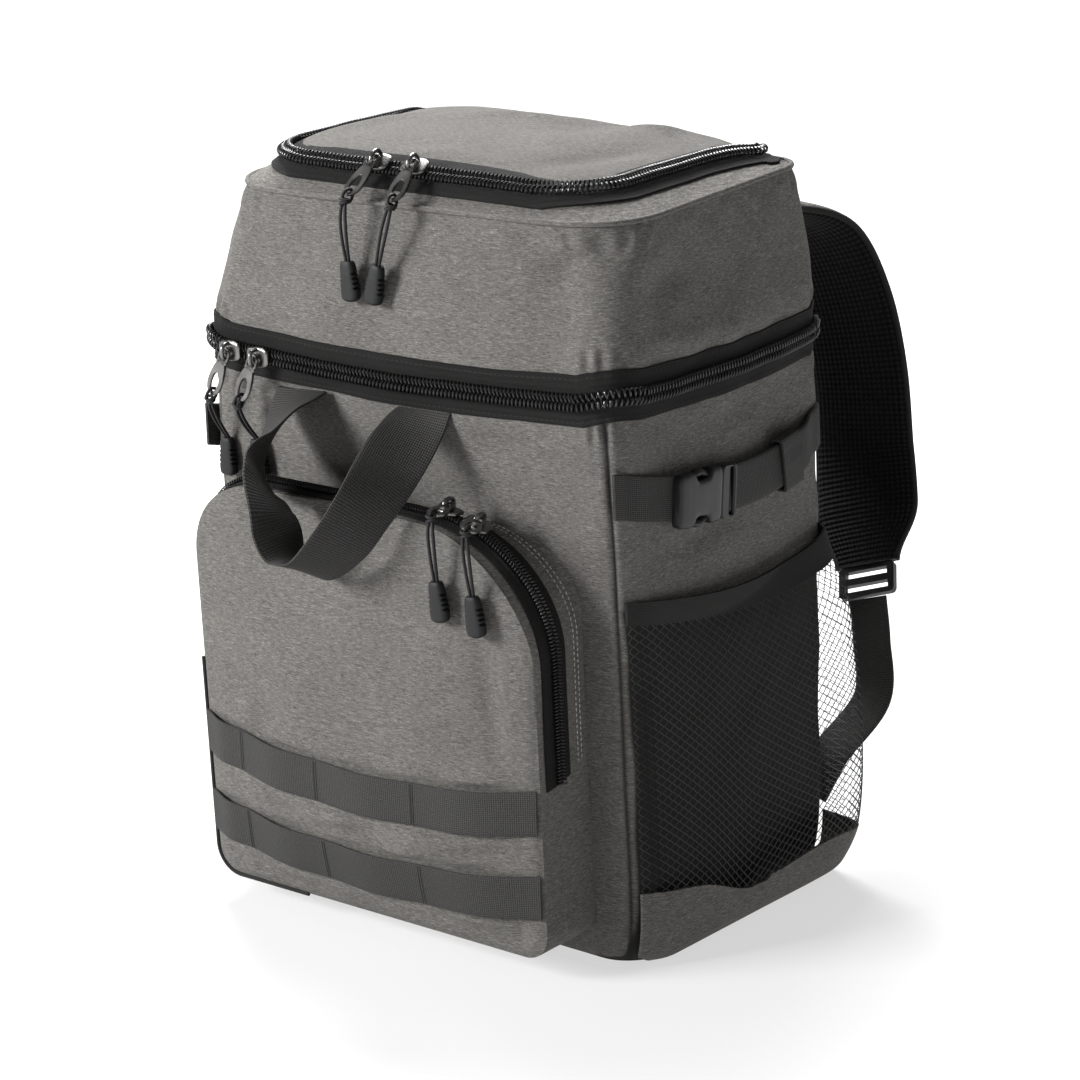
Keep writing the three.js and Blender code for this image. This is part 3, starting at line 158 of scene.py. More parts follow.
# The value held between 0 and 1.
def clamp01(value):
    return np.clip(value, 0, 1)


# 3s^2 - 2s^3 of the value held between 0 and 1.
def smooth(value):
    held = clamp01(value)
    return held * held * (3 - 2 * held)


# v / 
# v
# , with 
# v
#  held above 1e-12.
def unitVector(v):
    return v / np.maximum(np.linalg.norm(v, axis=-1, keepdims=True), 1e-12)


# The power of |value| with the sign of the value; of a cosine and a sine it makes a superellipse.
def signedPower(value, power):
    return np.sign(value) * np.abs(value) ** power


# Length along a line of points up to each of them.
def reachOf(line):
    return np.concatenate([[0], np.cumsum(np.linalg.norm(np.diff(line, axis=0), axis=1))])


# Vectors read at lengths along a line, straight between its points.
def readAlong(at, reach, values):
    return np.stack([np.interp(at, reach, values[:, k]) for k in range(3)], 1)


# A cubic Hermite curve through one column of a table, whose slopes join the two neighbours.
def along(table, key, column, place):
    keys = np.asarray(table[key], float)
    values = np.asarray(table[column], float)
    slopes = np.empty_like(values)
    slopes[1:-1] = (values[2:] - values[:-2]) / (keys[2:] - keys[:-2])
    slopes[0] = (values[1] - values[0]) / (keys[1] - keys[0])
    slopes[-1] = (values[-1] - values[-2]) / (keys[-1] - keys[-2])
    place = np.asarray(place, float)
    i = np.searchsorted(keys[1:-1], place, side="left")
    span = keys[i + 1] - keys[i]
    s = clamp01((place - keys[i]) / span)
    s2, s3 = s * s, s * s * s
    ends = (2 * s3 - 3 * s2 + 1) * values[i] + (3 * s2 - 2 * s3) * values[i + 1]
    return ends + (s3 - 2 * s2 + s) * span * slopes[i] + (s3 - s2) * span * slopes[i + 1]


# Point and outward direction at a place round a rounded rectangle: even sides are straight or
# bowed by 4 s (1 - s), odd ones are quarter circles.
def roundedAt(place, wide, low, high, corners, bowLow, bowSide):
    t = np.mod(place, 8)
    side = np.floor(t).astype(int)
    share = t - side
    rightLow, rightHigh, leftHigh, leftLow = np.broadcast_arrays(*corners, t)[:4]
    wide, low, high = (np.broadcast_to(k, t.shape) for k in (wide, low, high))
    bow = 4 * share * (1 - share)
    number = (side - 1) // 2
    corner = np.choose(np.clip(number, 0, 3), [rightLow, rightHigh, leftHigh, leftLow])
    turn = (number - 1 + share) * (math.pi / 2)
    cornerX = np.where(side < 4, 1, -1) * (wide - corner) + corner * np.cos(turn)
    middleY = np.where((side == 1) | (side == 7), low + corner, high - corner)
    cornerY = middleY + corner * np.sin(turn)
    odd = side % 2 == 1
    x = np.select(
        [odd, side == 0, side == 2, side == 4],
        [cornerX, mix(leftLow - wide, wide - rightLow, share), wide + bowSide * bow,
         mix(wide - rightHigh, leftHigh - wide, share)],
        -wide - bowSide * bow,
    )
    y = np.select(
        [odd, side == 0, side == 2, side == 4],
        [cornerY, low - bowLow * bow, mix(low + rightLow, high - rightHigh, share), high],
        mix(high - leftHigh, low + leftLow, share),
    )
    outX = np.select([odd, side == 2, side == 6], [np.cos(turn), 1.0, -1.0], 0.0)
    outY = np.select([odd, side == 0, side == 4], [np.sin(turn), -1.0, 1.0], 0.0)
    return x, y, outX, outY


# Height of the top seam: seamHeight + seamSlope y / bodyDepth.
def seamAt(y):
    return seamHeight + seamSlope * y / bodyDepth


# The body's surface: the rounded section at a share of its height, pushed by the bell-shaped dents.
def bodyAt(place, up):
    place, up = np.broadcast_arrays(np.asarray(place, float), np.asarray(up, float))
    bowShare = smooth(up / 0.08) * smooth((1 - up) / 0.2)
    nose, heel = (along(bodySections, "up", k, up) * cornerRadius for k in ("nose", "heel"))
    x, y, outX, outY = roundedAt(
        place,
        along(bodySections, "up", "wide", up) * bodyWidth / 2,
        -along(bodySections, "up", "front", up) * bodyDepth / 2,
        along(bodySections, "up", "back", up) * bodyDepth / 2,
        (nose, heel, heel, nose),
        frontBow * bowShare,
        sideBow * bowShare,
    )
    push = np.zeros_like(x)
    for dentX, dentY, dentZ, spreadX, spreadY, spreadZ, rise, both in bodyDents:
        across = np.abs(x) if both else x
        dx = (2 * across / bodyWidth - dentX) / spreadX
        dy = (2 * y / bodyDepth - dentY) / spreadY
        dz = (up - dentZ) / spreadZ
        push = push + rise * paddedWall * np.exp(-0.5 * (dx * dx + dy * dy + dz * dz))
    x, y = x + push * outX, y + push * outY
    return np.stack([x, y, up * seamAt(y)], -1)


# The crown's surface, with the lid's waves added inside the zip.
def crownAt(place, ring):
    place, ring = np.broadcast_arrays(np.asarray(place, float), np.asarray(ring, float))
    up = along(crownRings, "at", "up", ring)
    nose, heel = (along(crownRings, "at", k, ring) * cornerRadius for k in ("nose", "heel"))
    x, y, _, _ = roundedAt(
        place,
        along(crownRings, "at", "wide", ring) * bodyWidth / 2,
        -along(crownRings, "at", "front", ring) * bodyDepth / 2,
        along(crownRings, "at", "back", ring) * bodyDepth / 2,
        (nose, heel, heel, nose),
        0.0,
        0.0,
    )
    x = x + lidShift * np.minimum(1, up)
    wave = np.zeros_like(x)
    for waveX, waveY, spreadX, spreadY, rise in lidWaves:
        dx = (2 * x / bodyWidth - waveX) / spreadX
        dy = (2 * y / bodyDepth - waveY) / spreadY
        wave = wave + rise * lidDome * np.exp(-0.5 * (dx * dx + dy * dy))
    base = mix(seamAt(y), seamHeight, clamp01(up))
    z = base + crownRise * up - lidLean * x * clamp01(up) + wave * smooth((ring - 2.4) / 1.2)
    return np.stack([x, y, z], -1)


# Outward direction: the cross product of two small steps along the surface.
def outward(surface, u, v):
    step = 1e-3
    across = surface(u + step, v) - surface(u - step, v)
    up = surface(u, v + step) - surface(u, v - step)
    return unitVector(np.cross(across, up))


# The surface's point plus lift times its outward direction.
def lifted(surface, u, v, lift):
    return surface(u, v) + outward(surface, u, v) * np.asarray(lift)[..., None]


# Folds stand this many times as high as their tables say
foldStrength = 2.6


# Height of cloth folds: along each line a ridge exp(-(d/w)^2) that fades over its ends.
def foldPush(points, folds):
    push = np.zeros(points.shape[:-1])
    for a, b, wide, rise in folds:
        a, b = np.array(a, float), np.array(b, float)
        line = b - a
        t = (points - a) @ line / (line @ line)
        near = a + np.clip(t, 0, 1)[..., None] * line
        apart = np.linalg.norm(points - near, axis=-1)
        fade = np.exp(-((np.clip(t, 0, 1) - 0.5) / 0.52) ** 4)
        push += foldStrength * rise * fade * np.exp(-((apart / wide) ** 2))
    return push


# Slow unevenness of hand-filled cloth, as a product of sines.
def clothWaver(points, height=0.55):
    x, y, z = points[..., 0], points[..., 1], points[..., 2]
    slow = np.sin(x / 23 + z / 31 + 0.7) * np.sin(z / 17 - y / 21)
    slow = slow + 0.6 * np.sin(x / 11 - z / 13 + y / 9)
    fine = 0.35 * np.sin(z / 4.6 + x / 13 + 1.2) * np.sin(x / 6.3 - y / 5.2)
    return height * (slow + fine)


# Puckers beside the sewn tape and under the top seam: waves round the body, in bells 19 mm from
# the zip and 9 mm below the seam.
def seamPucker(place, up):
    apart = np.abs(up - zipShare(place)) * seamHeight
    below = (1 - up) * seamHeight
    byZip = 1.0 * np.sin(place * 21 + 2 * np.sin(place * 5)) * np.exp(-(((apart - 19) / 6) ** 2))
    bySeam = 0.9 * np.sin(place * 26 + 1.5 * np.sin(place * 7)) * np.exp(-(((below - 9) / 5) ** 2))
    return byZip + bySeam


# The body's cloth: its plain surface with folds, unevenness and puckers set along its normal.
def bodyCloth(place, up):
    plain = bodyAt(place, up)
    push = foldPush(plain, bodyFolds) + clothWaver(plain) + seamPucker(place, up)
    return plain + outward(bodyAt, place, up) * push[..., None]


crownFolds = [
    ((-60, 40, 440), (30, 78, 440), 10, 1.4),
    ((0, 66, 440), (44, 84, 438), 6, -1.2),
    ((38, 70, 438), (70, 84, 436), 6, 1.2),
    ((-100, -40, 436), (-86, 40, 440), 9, 0.8),
    ((60, -40, 436), (84, 30, 436), 10, -0.9),
    ((-20, -50, 436), (50, -46, 436), 8, 0.7),
    ((66, 74, 436), (100, 60, 432), 6, -0.8),
]


# The crown's cloth: its plain surface with folds and a little unevenness set along its normal.
def crownCloth(place, ring):
    plain = crownAt(place, ring)
    push = foldPush(plain, crownFolds) + clothWaver(plain, 0.2)
    return plain + outward(crownAt, place, ring) * push[..., None]


# Distance round the outline from the middle of its front, 
# mod(place - 0.5 + 4, 8) - 4
# .
def foldedPlace(place):
    return np.abs(np.mod(place - 0.5 + 4, 8) - 4)


# The share of the body's height at which the middle zip runs.
def zipShare(place):
    height = along(zipWave, "side", "rise", foldedPlace(place) + 0.5) * zipHeight
    return height / seamAt(bodyAt(place, height / seamHeight)[..., 1])


# The ring at which the lid parts from the crown: it flares out to the hinge corners.
def lidEdge(place):
    return 2 - hingeFlare * np.exp(-0.5 * ((foldedPlace(place) - 2.95) / 0.3) ** 2)


# Lengths along the two ways of a grid of points, in metres, as pattern coordinates.
def gridUv(points, wrap):
    full = np.concatenate([points, points[:, :1]], 1) if wrap else points
    stepU = np.median(np.linalg.norm(np.diff(full, axis=1), axis=2), axis=0)
    stepV = np.mean(np.linalg.norm(np.diff(full, axis=0), axis=2), axis=1)
    u = np.concatenate([[0], np.cumsum(stepU)])
    v = np.concatenate([[0], np.cumsum(stepV)])
    return np.stack(np.broadcast_arrays(u[None, :], v[:, None]), -1) * unit


# Vertices and faces of a grid, closed round its columns by wrap and round its rows by ring, with
# fans over its ends, turned so that its signed volume is above 0.
def gridShape(points, wrap=True, capStart=True, capEnd=True, ring=False, look=0):
    rows, columns = points.shape[:2]
    index = np.arange(rows * columns).reshape(rows, columns)
    uvGrid = gridUv(points, wrap)
    right = np.roll(index, -1, 1) if wrap else index[:, 1:]
    left = index if wrap else index[:, :-1]
    high, low = slice(1, None), slice(None, -1)
    quads = np.stack([left[low], right[low], right[high], left[high]], -1).reshape(-1, 4)
    quadUv = np.stack(
        [uvGrid[:-1, :-1], uvGrid[:-1, 1:], uvGrid[1:, 1:], uvGrid[1:, :-1]], 2
    ).reshape(-1, 4, 2)
    if ring:
        joint = np.stack([left[-1], right[-1], right[0], left[0]], -1)
        quads = np.concatenate([quads, joint])
        quadUv = np.concatenate([quadUv, np.stack(
            [uvGrid[-1, :-1], uvGrid[-1, 1:], uvGrid[-1, 1:], uvGrid[-1, :-1]], 1)])
    flat = points.reshape(-1, 3)
    triangles, triangleUv = [], []
    for use, row, way in ((capStart, 0, -1), (capEnd, rows - 1, 1)):
        if use and wrap and not ring:
            middle = len(flat)
            flat = np.concatenate([flat, points[row].mean(0)[None]])
            first, second = (left[row], right[row]) if way > 0 else (right[row], left[row])
            triangles.append(np.stack([np.full(columns, middle), first, second], -1))
            cut = np.stack([uvGrid[row, :-1], uvGrid[row, :-1], uvGrid[row, 1:]], 1)
            triangleUv.append(cut)
    triangles = np.concatenate(triangles) if triangles else np.zeros((0, 3), int)
    triangleUv = np.concatenate(triangleUv) if triangleUv else np.zeros((0, 3, 2))
    a, b, c, d = (flat[quads[:, k]] for k in range(4))
    volume = np.sum(a * np.cross(b, c)) + np.sum(a * np.cross(c, d))
    if len(triangles):
        a, b, c = (flat[triangles[:, k]] for k in range(3))
        volume += np.sum(a * np.cross(b, c))
    if volume < 0:
        quads, quadUv = quads[:, ::-1], quadUv[:, ::-1]
        triangles, triangleUv = triangles[:, ::-1], triangleUv[:, ::-1]
    return {"points": flat, "quads": quads, "quadUv": quadUv, "triangles": triangles,
            "triangleUv": triangleUv, "look": look}


# A sheet between an outer and an inner grid of points, joined round its rim.
def sheetShape(outer, inner):
    rim = np.concatenate([outer, inner[:, ::-1]], 1)
    flat = gridShape(rim, capStart=False, capEnd=False)
    columns = outer.shape[1]
    width = 2 * columns
    rows = outer.shape[0]
    k = np.arange(columns - 1)
    ends = []
    for row, way in ((0, 1), (rows - 1, -1)):
        start = row * width
        last = start + width - 1
        strip = np.stack([start + k, last - k, last - 1 - k, start + k + 1], -1)
        ends.append(strip if way > 0 else strip[:, ::-1])
    ends = np.concatenate(ends)
    points = flat["points"]
    sample = flat["quads"]
    wanted = np.stack([rim[0, 0], rim[0, 1], rim[1, 1]])
    given = points[sample[0, :3]]
    same = np.cross(wanted[1] - wanted[0], wanted[2] - wanted[0]) @ np.cross(
        given[1] - given[0], given[2] - given[0])
    if same < 0:
        ends = ends[:, ::-1]
    flat["quads"] = np.concatenate([sample, ends])
    flat["quadUv"] = np.concatenate([flat["quadUv"], np.zeros((len(ends), 4, 2))])
    return flat


# A tube along a path: rings with the radius across the reference, and flat times it the other way.
def tubeShape(path, radius, sides=8, reference=(0, 0, 1), flat=1.0, look=0, closed=False):
    path = np.asarray(path, float)
    if closed:
        tangent = np.roll(path, -1, 0) - np.roll(path, 1, 0)
    else:
        tangent = np.gradient(path, axis=0)
    tangent = unitVector(tangent)
    reference = np.broadcast_to(np.asarray(reference, float), path.shape)
    first = unitVector(np.cross(tangent, reference))
    second = np.cross(tangent, first)
    angle = np.arange(sides) * 2 * math.pi / sides
    c, s = np.cos(angle)[None, :, None], flat * np.sin(angle)[None, :, None]
    wide = np.broadcast_to(radius, len(path))[:, None, None]
    rings = path[:, None] + wide * (c * first[:, None] + s * second[:, None])
    return gridShape(rings, ring=closed, look=look)


# A section of (across, out) places swept along frames.
def sweepShape(centre, across, out, section):
    return gridShape(centre[:, None] + section[:, :1] * across[:, None] + section[:, 1:] * out[:, None])


# A flat section with rounded edges, width wide and thick high from its foot.
def flatSection(width, thick, count=9, foot=0.0):
    across = np.linspace(-1, 1, count) * (width / 2 - thick / 2)
    turn = np.linspace(-math.pi / 2, math.pi / 2, 5)
    half = thick / 2
    rightX, rightY = across[-1] + half * np.cos(turn), half + half * np.sin(turn)
    low = np.stack([across[1:-1], np.zeros(count - 2)], -1)
    high = np.stack([across[1:-1][::-1], np.full(count - 2, thick)], -1)
    right = np.stack([rightX, rightY], -1)
    left = np.stack([-rightX[::-1], rightY[::-1]], -1)
    return np.concatenate([low, right, high, left]) + [0, foot]


# Middle line, travel, outward and across directions of a run on a surface.
def railOn(surface, u, v):
    middle = surface(u, v)
    ahead = unitVector(np.gradient(middle, axis=0))
    out = outward(surface, u, v)
    across = unitVector(np.cross(out, ahead))
    return middle, ahead, out, across


# A strip on a surface: each section corner is set across the run by steps of v, then lifted.
def stripOn(surface, u, v, section):
    middle, ahead, out, across = railOn(surface, u, v)
    perStep = np.sum((surface(u, v + 1e-3) - middle) * across, -1) / 1e-3
    columns = [lifted(surface, u, v + side / perStep, np.full(len(u), lift)) for side, lift in section]
    return gridShape(np.stack(columns, 1))


# Joins shapes into one mesh object in metres that rides on the bag and stands for CAD nodes.
def addPiece(name, shapes, looks, nodes=(), sharp=50.0, shade=None):
    shapes = shapes if isinstance(shapes, list) else [shapes]
    looks = looks if isinstance(looks, list) else [looks]
    corners, uv, sizes, index, base = [], [], [], [], 0
    for s in shapes:
        for kind, size in (("quad", 4), ("triangle", 3)):
            faces = s[kind + "s"]
            corners.append((faces + base).ravel())
            uv.append(s[kind + "Uv"].reshape(-1, 2))
            sizes.append(np.full(len(faces), size))
            index.append(np.full(len(faces), s["look"]))
        base += len(s["points"])
    points = np.concatenate([s["points"] for s in shapes]) * unit
    corners, uv = np.concatenate(corners), np.concatenate(uv)
    sizes, index = np.concatenate(sizes), np.concatenate(index)
    mesh = bpy.data.meshes.new(name)
    mesh.vertices.add(len(points))
    mesh.vertices.foreach_set("co", points.astype(np.float32).ravel())
    mesh.loops.add(len(corners))
    mesh.loops.foreach_set("vertex_index", corners.astype(np.int32))
    mesh.polygons.add(len(sizes))
    mesh.polygons.foreach_set("loop_start", (np.cumsum(sizes) - sizes).astype(np.int32))
    mesh.update(calc_edges=True)
    mesh.polygons.foreach_set("material_index", index.astype(np.int32))
    mesh.polygons.foreach_set("use_smooth", np.ones(len(sizes), bool))
    layer = mesh.uv_layers.new(name="run")
    layer.data.foreach_set("uv", uv.astype(np.float32).ravel())
    if shade is not None:
        mark = mesh.attributes.new("shade", "FLOAT", "POINT")
        mark.data.foreach_set("value", shade(points / unit).astype(np.float32))
    mesh.set_sharp_from_angle(angle=math.radians(sharp))
    for look in looks:
        mesh.materials.append(look)
    made = bpy.data.objects.new(name, mesh)
    scene.collection.objects.link(made)
    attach(made, "root")
    if nodes:
        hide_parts(*nodes)
    return made


# The shape with x turned into -x and the corners of each face in the other order.
def mirrored(shape):
    turned = dict(shape)
    turned["points"] = shape["points"] * [-1, 1, 1]
    for key in ("quads", "quadUv", "triangles", "triangleUv"):
        turned[key] = shape[key][:, ::-1]
    return turned


# Pieces of both sides are shaped for the right one and mirrored for the left one
bothSides = (("right", lambda shape: shape), ("left", mirrored))


# Nodes of a material: a Principled surface with its constants set on its own sockets.
def newMaterial(name, colour, roughness, metallic=0.0, coat=0.0):
    made = bpy.data.materials.new(name)
    made.use_nodes = True
    nodes, links = made.node_tree.nodes, made.node_tree.links
    surface = nodes["Principled BSDF"]
    surface.inputs["Base Color"].default_value = (*colour, 1)
    surface.inputs["Roughness"].default_value = roughness
    surface.inputs["Metallic"].default_value = metallic
    surface.inputs["Coat Weight"].default_value = coat
    made.diffuse_color = (*colour, 1)
    return made, nodes, links, surface


# The result of one operation on numbers and on other nodes' results.
def mathNode(nodes, links, operation, *values):
    node = nodes.new("ShaderNodeMath")
    node.operation = operation
    for socket, value in zip(node.inputs, values):
        if isinstance(value, (int, float)):
            socket.default_value = value
        else:
            links.new(value, socket)
    return node.outputs[0]


# Object or run coordinates divided by a cell size in metres.
def cellsOf(nodes, links, kind, cell):
    if kind == "run":
        source = nodes.new("ShaderNodeUVMap")
        source.uv_map = "run"
        place = source.outputs["UV"]
    else:
        place = nodes.new("ShaderNodeTexCoord").outputs["Object"]
    scaled = nodes.new("ShaderNodeVectorMath")
    scaled.operation = "DIVIDE"
    links.new(place, scaled.inputs[0])
    scaled.inputs[1].default_value = cell
    return scaled.outputs["Vector"]


# Fractal noise between 0 and 1 at cell coordinates.
def noiseOf(nodes, links, place, detail=2.0, roughness=0.5):
    noise = nodes.new("ShaderNodeTexNoise")
    noise.inputs["Scale"].default_value = 1.0
    noise.inputs["Detail"].default_value = detail
    noise.inputs["Roughness"].default_value = roughness
    links.new(place, noise.inputs["Vector"])
    return noise.outputs["Fac"]


# A colour that runs linearly between stops of (value, colour).
def rampOf(nodes, links, value, stops):
    ramp = nodes.new("ShaderNodeValToRGB")
    links.new(value, ramp.inputs["Fac"])
    elements = ramp.color_ramp.elements
    while len(elements) < len(stops):
        elements.new(0.5)
    for element, (place, colour) in zip(elements, stops):
        element.position = place
        element.color = (*colour, 1) if len(colour) == 3 else colour
    return ramp.outputs["Color"]


# Tilts the surface's normal by the slope of strength times distance times height.
def bumpOf(nodes, links, surface, height, strength, distance):
    bump = nodes.new("ShaderNodeBump")
    bump.inputs["Strength"].default_value = strength
    bump.inputs["Distance"].default_value = distance
    links.new(height, bump.inputs["Height"])
    links.new(bump.outputs["Normal"], surface.inputs["Normal"])


# Melange cloth: light and dark yarns as noise drawn out along the weft, twice over, with a slow
# change of tone; marked places are darkened towards near black by the shade attribute: painted
# shade in the seam grooves, and the dark behind the nets.
def heatherMaterial(name, cells, fine, dark=1.0):
    made, nodes, links, surface = newMaterial(name, (0.19, 0.178, 0.158), 0.92)
    long = noiseOf(nodes, links, cellsOf(nodes, links, "object", cells), 3.0, 0.6)
    short = noiseOf(nodes, links, cellsOf(nodes, links, "object", fine), 2.0, 0.7)
    slow = noiseOf(nodes, links, cellsOf(nodes, links, "object", (0.05, 0.05, 0.05)), 2.0)
    both = mathNode(nodes, links, "ADD", mathNode(nodes, links, "MULTIPLY", long, 0.55),
                    mathNode(nodes, links, "MULTIPLY", short, 0.45))
    toned = mathNode(nodes, links, "ADD", both, mathNode(nodes, links, "MULTIPLY", slow, 0.06))
    tone = rampOf(nodes, links, toned, [
        (0.36, (0.048 * dark, 0.046 * dark, 0.043 * dark)),
        (0.47, (0.140 * dark, 0.134 * dark, 0.125 * dark)),
        (0.56, (0.190 * dark, 0.182 * dark, 0.170 * dark)),
        (0.68, (0.33 * dark, 0.317 * dark, 0.297 * dark)),
    ])
    # Mixes in 0.012 where the shade attribute is set: painted shade in the seam grooves, and the dark behind
    # the nets
    mark = nodes.new("ShaderNodeAttribute")
    mark.attribute_name = "shade"
    shaded = nodes.new("ShaderNodeMix")
    shaded.data_type = "RGBA"
    links.new(mark.outputs["Fac"], shaded.inputs["Factor"])
    links.new(tone, shaded.inputs["A"])
    shaded.inputs["B"].default_value = (0.012, 0.012, 0.012, 1)
    links.new(shaded.outputs["Result"], surface.inputs["Base Color"])
    surface.inputs["Specular IOR Level"].default_value = 0.15
    bumpOf(nodes, links, surface, both, 0.5, 0.0006)
    return made


# Ribbed webbing: sines across and along its run, with a little unevenness.
def webbingMaterial(name, colour, across, lengthwise, strength=0.7):
    made, nodes, links, surface = newMaterial(name, colour, 0.72)
    parts = nodes.new("ShaderNodeSeparateXYZ")
    ribs = (across / (2 * math.pi), lengthwise / (2 * math.pi), 1)
    links.new(cellsOf(nodes, links, "run", ribs), parts.inputs[0])
    first = mathNode(nodes, links, "SINE", parts.outputs["X"])
    second = mathNode(nodes, links, "SINE", parts.outputs["Y"])
    height = mathNode(nodes, links, "ADD", mathNode(nodes, links, "MULTIPLY", first, 0.5),
                      mathNode(nodes, links, "MULTIPLY", second, 0.5))
    noise = noiseOf(nodes, links, cellsOf(nodes, links, "run", (0.0006, 0.0011, 1)), 2.0)
    both = mathNode(nodes, links, "ADD", mathNode(nodes, links, "MULTIPLY", height, 0.3),
                    mathNode(nodes, links, "MULTIPLY", noise, 0.7))
    tone = rampOf(nodes, links, both, [
        (0.1, tuple(0.45 * c for c in colour)), (0.45, colour), (0.85, tuple(2.2 * c for c in colour))])
    links.new(tone, surface.inputs["Base Color"])
    surface.inputs["Specular IOR Level"].default_value = 0.2
    bumpOf(nodes, links, surface, height, strength, 0.0003)
    return made


# Zip tape in herringbone: a sine along run plus the ping-pong of the place across.
def tapeMaterial(name, colour):
    made, nodes, links, surface = newMaterial(name, colour, 0.8)
    parts = nodes.new("ShaderNodeSeparateXYZ")
    links.new(cellsOf(nodes, links, "run", (0.0001, 0.0001, 1)), parts.inputs[0])
    fold = nodes.new("ShaderNodeMath")
    fold.operation = "PINGPONG"
    links.new(parts.outputs["X"], fold.inputs[0])
    fold.inputs[1].default_value = 17
    slanted = mathNode(nodes, links, "ADD", parts.outputs["Y"], fold.outputs[0])
    wave = mathNode(nodes, links, "SINE", mathNode(nodes, links, "MULTIPLY", slanted, 0.66))
    noise = noiseOf(nodes, links, cellsOf(nodes, links, "run", (0.0008, 0.0008, 1)), 2.0)
    mixed = mathNode(nodes, links, "ADD", mathNode(nodes, links, "MULTIPLY", wave, 0.25), noise)
    tone = rampOf(nodes, links, mixed, [
        (0.2, tuple(0.5 * c for c in colour)), (0.8, tuple(1.9 * c for c in colour))])
    links.new(tone, surface.inputs["Base Color"])
    surface.inputs["Specular IOR Level"].default_value = 0.2
    bumpOf(nodes, links, surface, wave, 0.8, 0.0004)
    return made


# A hard or rubbery surface with fine grain and a slow change of gloss.
def mouldedMaterial(name, colour, roughness, metallic=0.0, coat=0.0, grain=0.0006, strength=0.1,
                    shine=0.5):
    made, nodes, links, surface = newMaterial(name, colour, roughness, metallic, coat)
    fine = noiseOf(nodes, links, cellsOf(nodes, links, "object", (grain, grain, grain)), 3.0)
    slow = noiseOf(nodes, links, cellsOf(nodes, links, "object", (0.012, 0.012, 0.012)), 2.0)
    gloss = nodes.new("ShaderNodeMapRange")
    links.new(slow, gloss.inputs["Value"])
    gloss.inputs["To Min"].default_value = max(0.05, roughness - 0.08)
    gloss.inputs["To Max"].default_value = min(1.0, roughness + 0.1)
    links.new(gloss.outputs["Result"], surface.inputs["Roughness"])
    tone = rampOf(nodes, links, slow, [
        (0.3, tuple(0.8 * c for c in colour)), (0.7, tuple(1.2 * c for c in colour))])
    links.new(tone, surface.inputs["Base Color"])
    surface.inputs["Specular IOR Level"].default_value = shine
    bumpOf(nodes, links, surface, fine, strength, 0.0002)
    return made


# Spacer mesh: small diamond holes where two slanted sines meet.
def spacerMaterial(name, cell):
    made, nodes, links, surface = newMaterial(name, (0.012, 0.012, 0.012), 0.85)
    parts = nodes.new("ShaderNodeSeparateXYZ")
    links.new(cellsOf(nodes, links, "run", (cell / math.pi, cell / math.pi, 1)), parts.inputs[0])
    both = parts.outputs["X"], parts.outputs["Y"]
    first = mathNode(nodes, links, "SINE", mathNode(nodes, links, "ADD", *both))
    second = mathNode(nodes, links, "SINE", mathNode(nodes, links, "SUBTRACT", *both))
    height = mathNode(nodes, links, "MULTIPLY", first, second)
    tone = rampOf(nodes, links, height, [(0.1, (0.002, 0.002, 0.002)), (0.5, (0.008, 0.008, 0.008))])
    links.new(tone, surface.inputs["Base Color"])
    surface.inputs["Specular IOR Level"].default_value = 0.15
    bumpOf(nodes, links, surface, height, 0.8, 0.0008)
    return made


heather = heatherMaterial("heather", (0.0038, 0.0038, 0.00052), (0.0012, 0.0012, 0.00036), 0.55)
heatherFlat = heatherMaterial("heather_lid", (0.0036, 0.00048, 0.0036), (0.0011, 0.00034, 0.0011), 0.5)
strapCloth = webbingMaterial("webbing", (0.036, 0.035, 0.034), 0.0011, 0.0013)
handleCloth = webbingMaterial("webbing_wide", (0.036, 0.035, 0.034), 0.0013, 0.0016)
hemCloth = webbingMaterial("binding", (0.013, 0.013, 0.0125), 0.0007, 0.0009, 0.4)
zipTape = tapeMaterial("zip_tape", (0.0085, 0.0083, 0.008))
coilGloss = mouldedMaterial("zip_coil", (0.006, 0.006, 0.006), 0.34, coat=0.1, grain=0.002)
blackNickel = mouldedMaterial("black_nickel", (0.15, 0.147, 0.143), 0.3, metallic=1.0, strength=0.05)
cordBraid = mouldedMaterial("pull_cord", (0.008, 0.008, 0.008), 0.6, grain=0.0005, strength=0.8, shine=0.25)
endRubber = mouldedMaterial("cord_end_rubber", (0.007, 0.0073, 0.0078), 0.55, grain=0.0004, strength=0.15,
                            shine=0.22)
buckleResin = mouldedMaterial("buckle_plastic", (0.007, 0.0072, 0.0078), 0.42, grain=0.0003,
                              strength=0.12, shine=0.3)
netThread = mouldedMaterial("side_net", (0.014, 0.014, 0.014), 0.6, grain=0.0004, strength=0.3)
spacerCloth = spacerMaterial("spacer_mesh", 0.0032)
paleThread = mouldedMaterial("stitch_thread", (0.34, 0.33, 0.31), 0.8, grain=0.0003, strength=0.3)
darkThread = mouldedMaterial("stitch_dark", (0.014, 0.014, 0.014), 0.8, grain=0.0003, strength=0.3)
print("materials made")

# Places round the pocket and its swelling face
pocketWidth = 242
pocketTop = 254.5
pocketBottom = 15
pocketFront = -137
pocketCorners = {"right": 74, "left": 46, "back": 46}
pocketFoot = 16
pocketBulge = 13
pocketLean = 5
pocketSag = 5
pocketDroop = 4
pocketZipDepth = 0.62
pocketZipEnd = 112
pocketMiddle = (pocketTop + pocketBottom) / 2
pocketHalf = (pocketTop - pocketBottom) / 2


# Sideways lean of the pocket: -pocketLean times the height above its middle over its height.
def pocketCentre(z):
    return -pocketLean * ((z - pocketMiddle) / (2 * pocketHalf))


# The pocket's face: its front plane swollen by (1 - x^2.6)(1 - z^3), more at the bottom.
def pocketFace(x, z):
    across = np.minimum(1, np.abs(2 * (x - pocketCentre(z)) / pocketWidth))
    up = np.clip((z - pocketMiddle) / pocketHalf, -1, 1)
    fill = (1 - across**2.6) * (1 - np.abs(up) ** 3) * (1 - 0.25 * up)
    return pocketFront - pocketBulge * fill


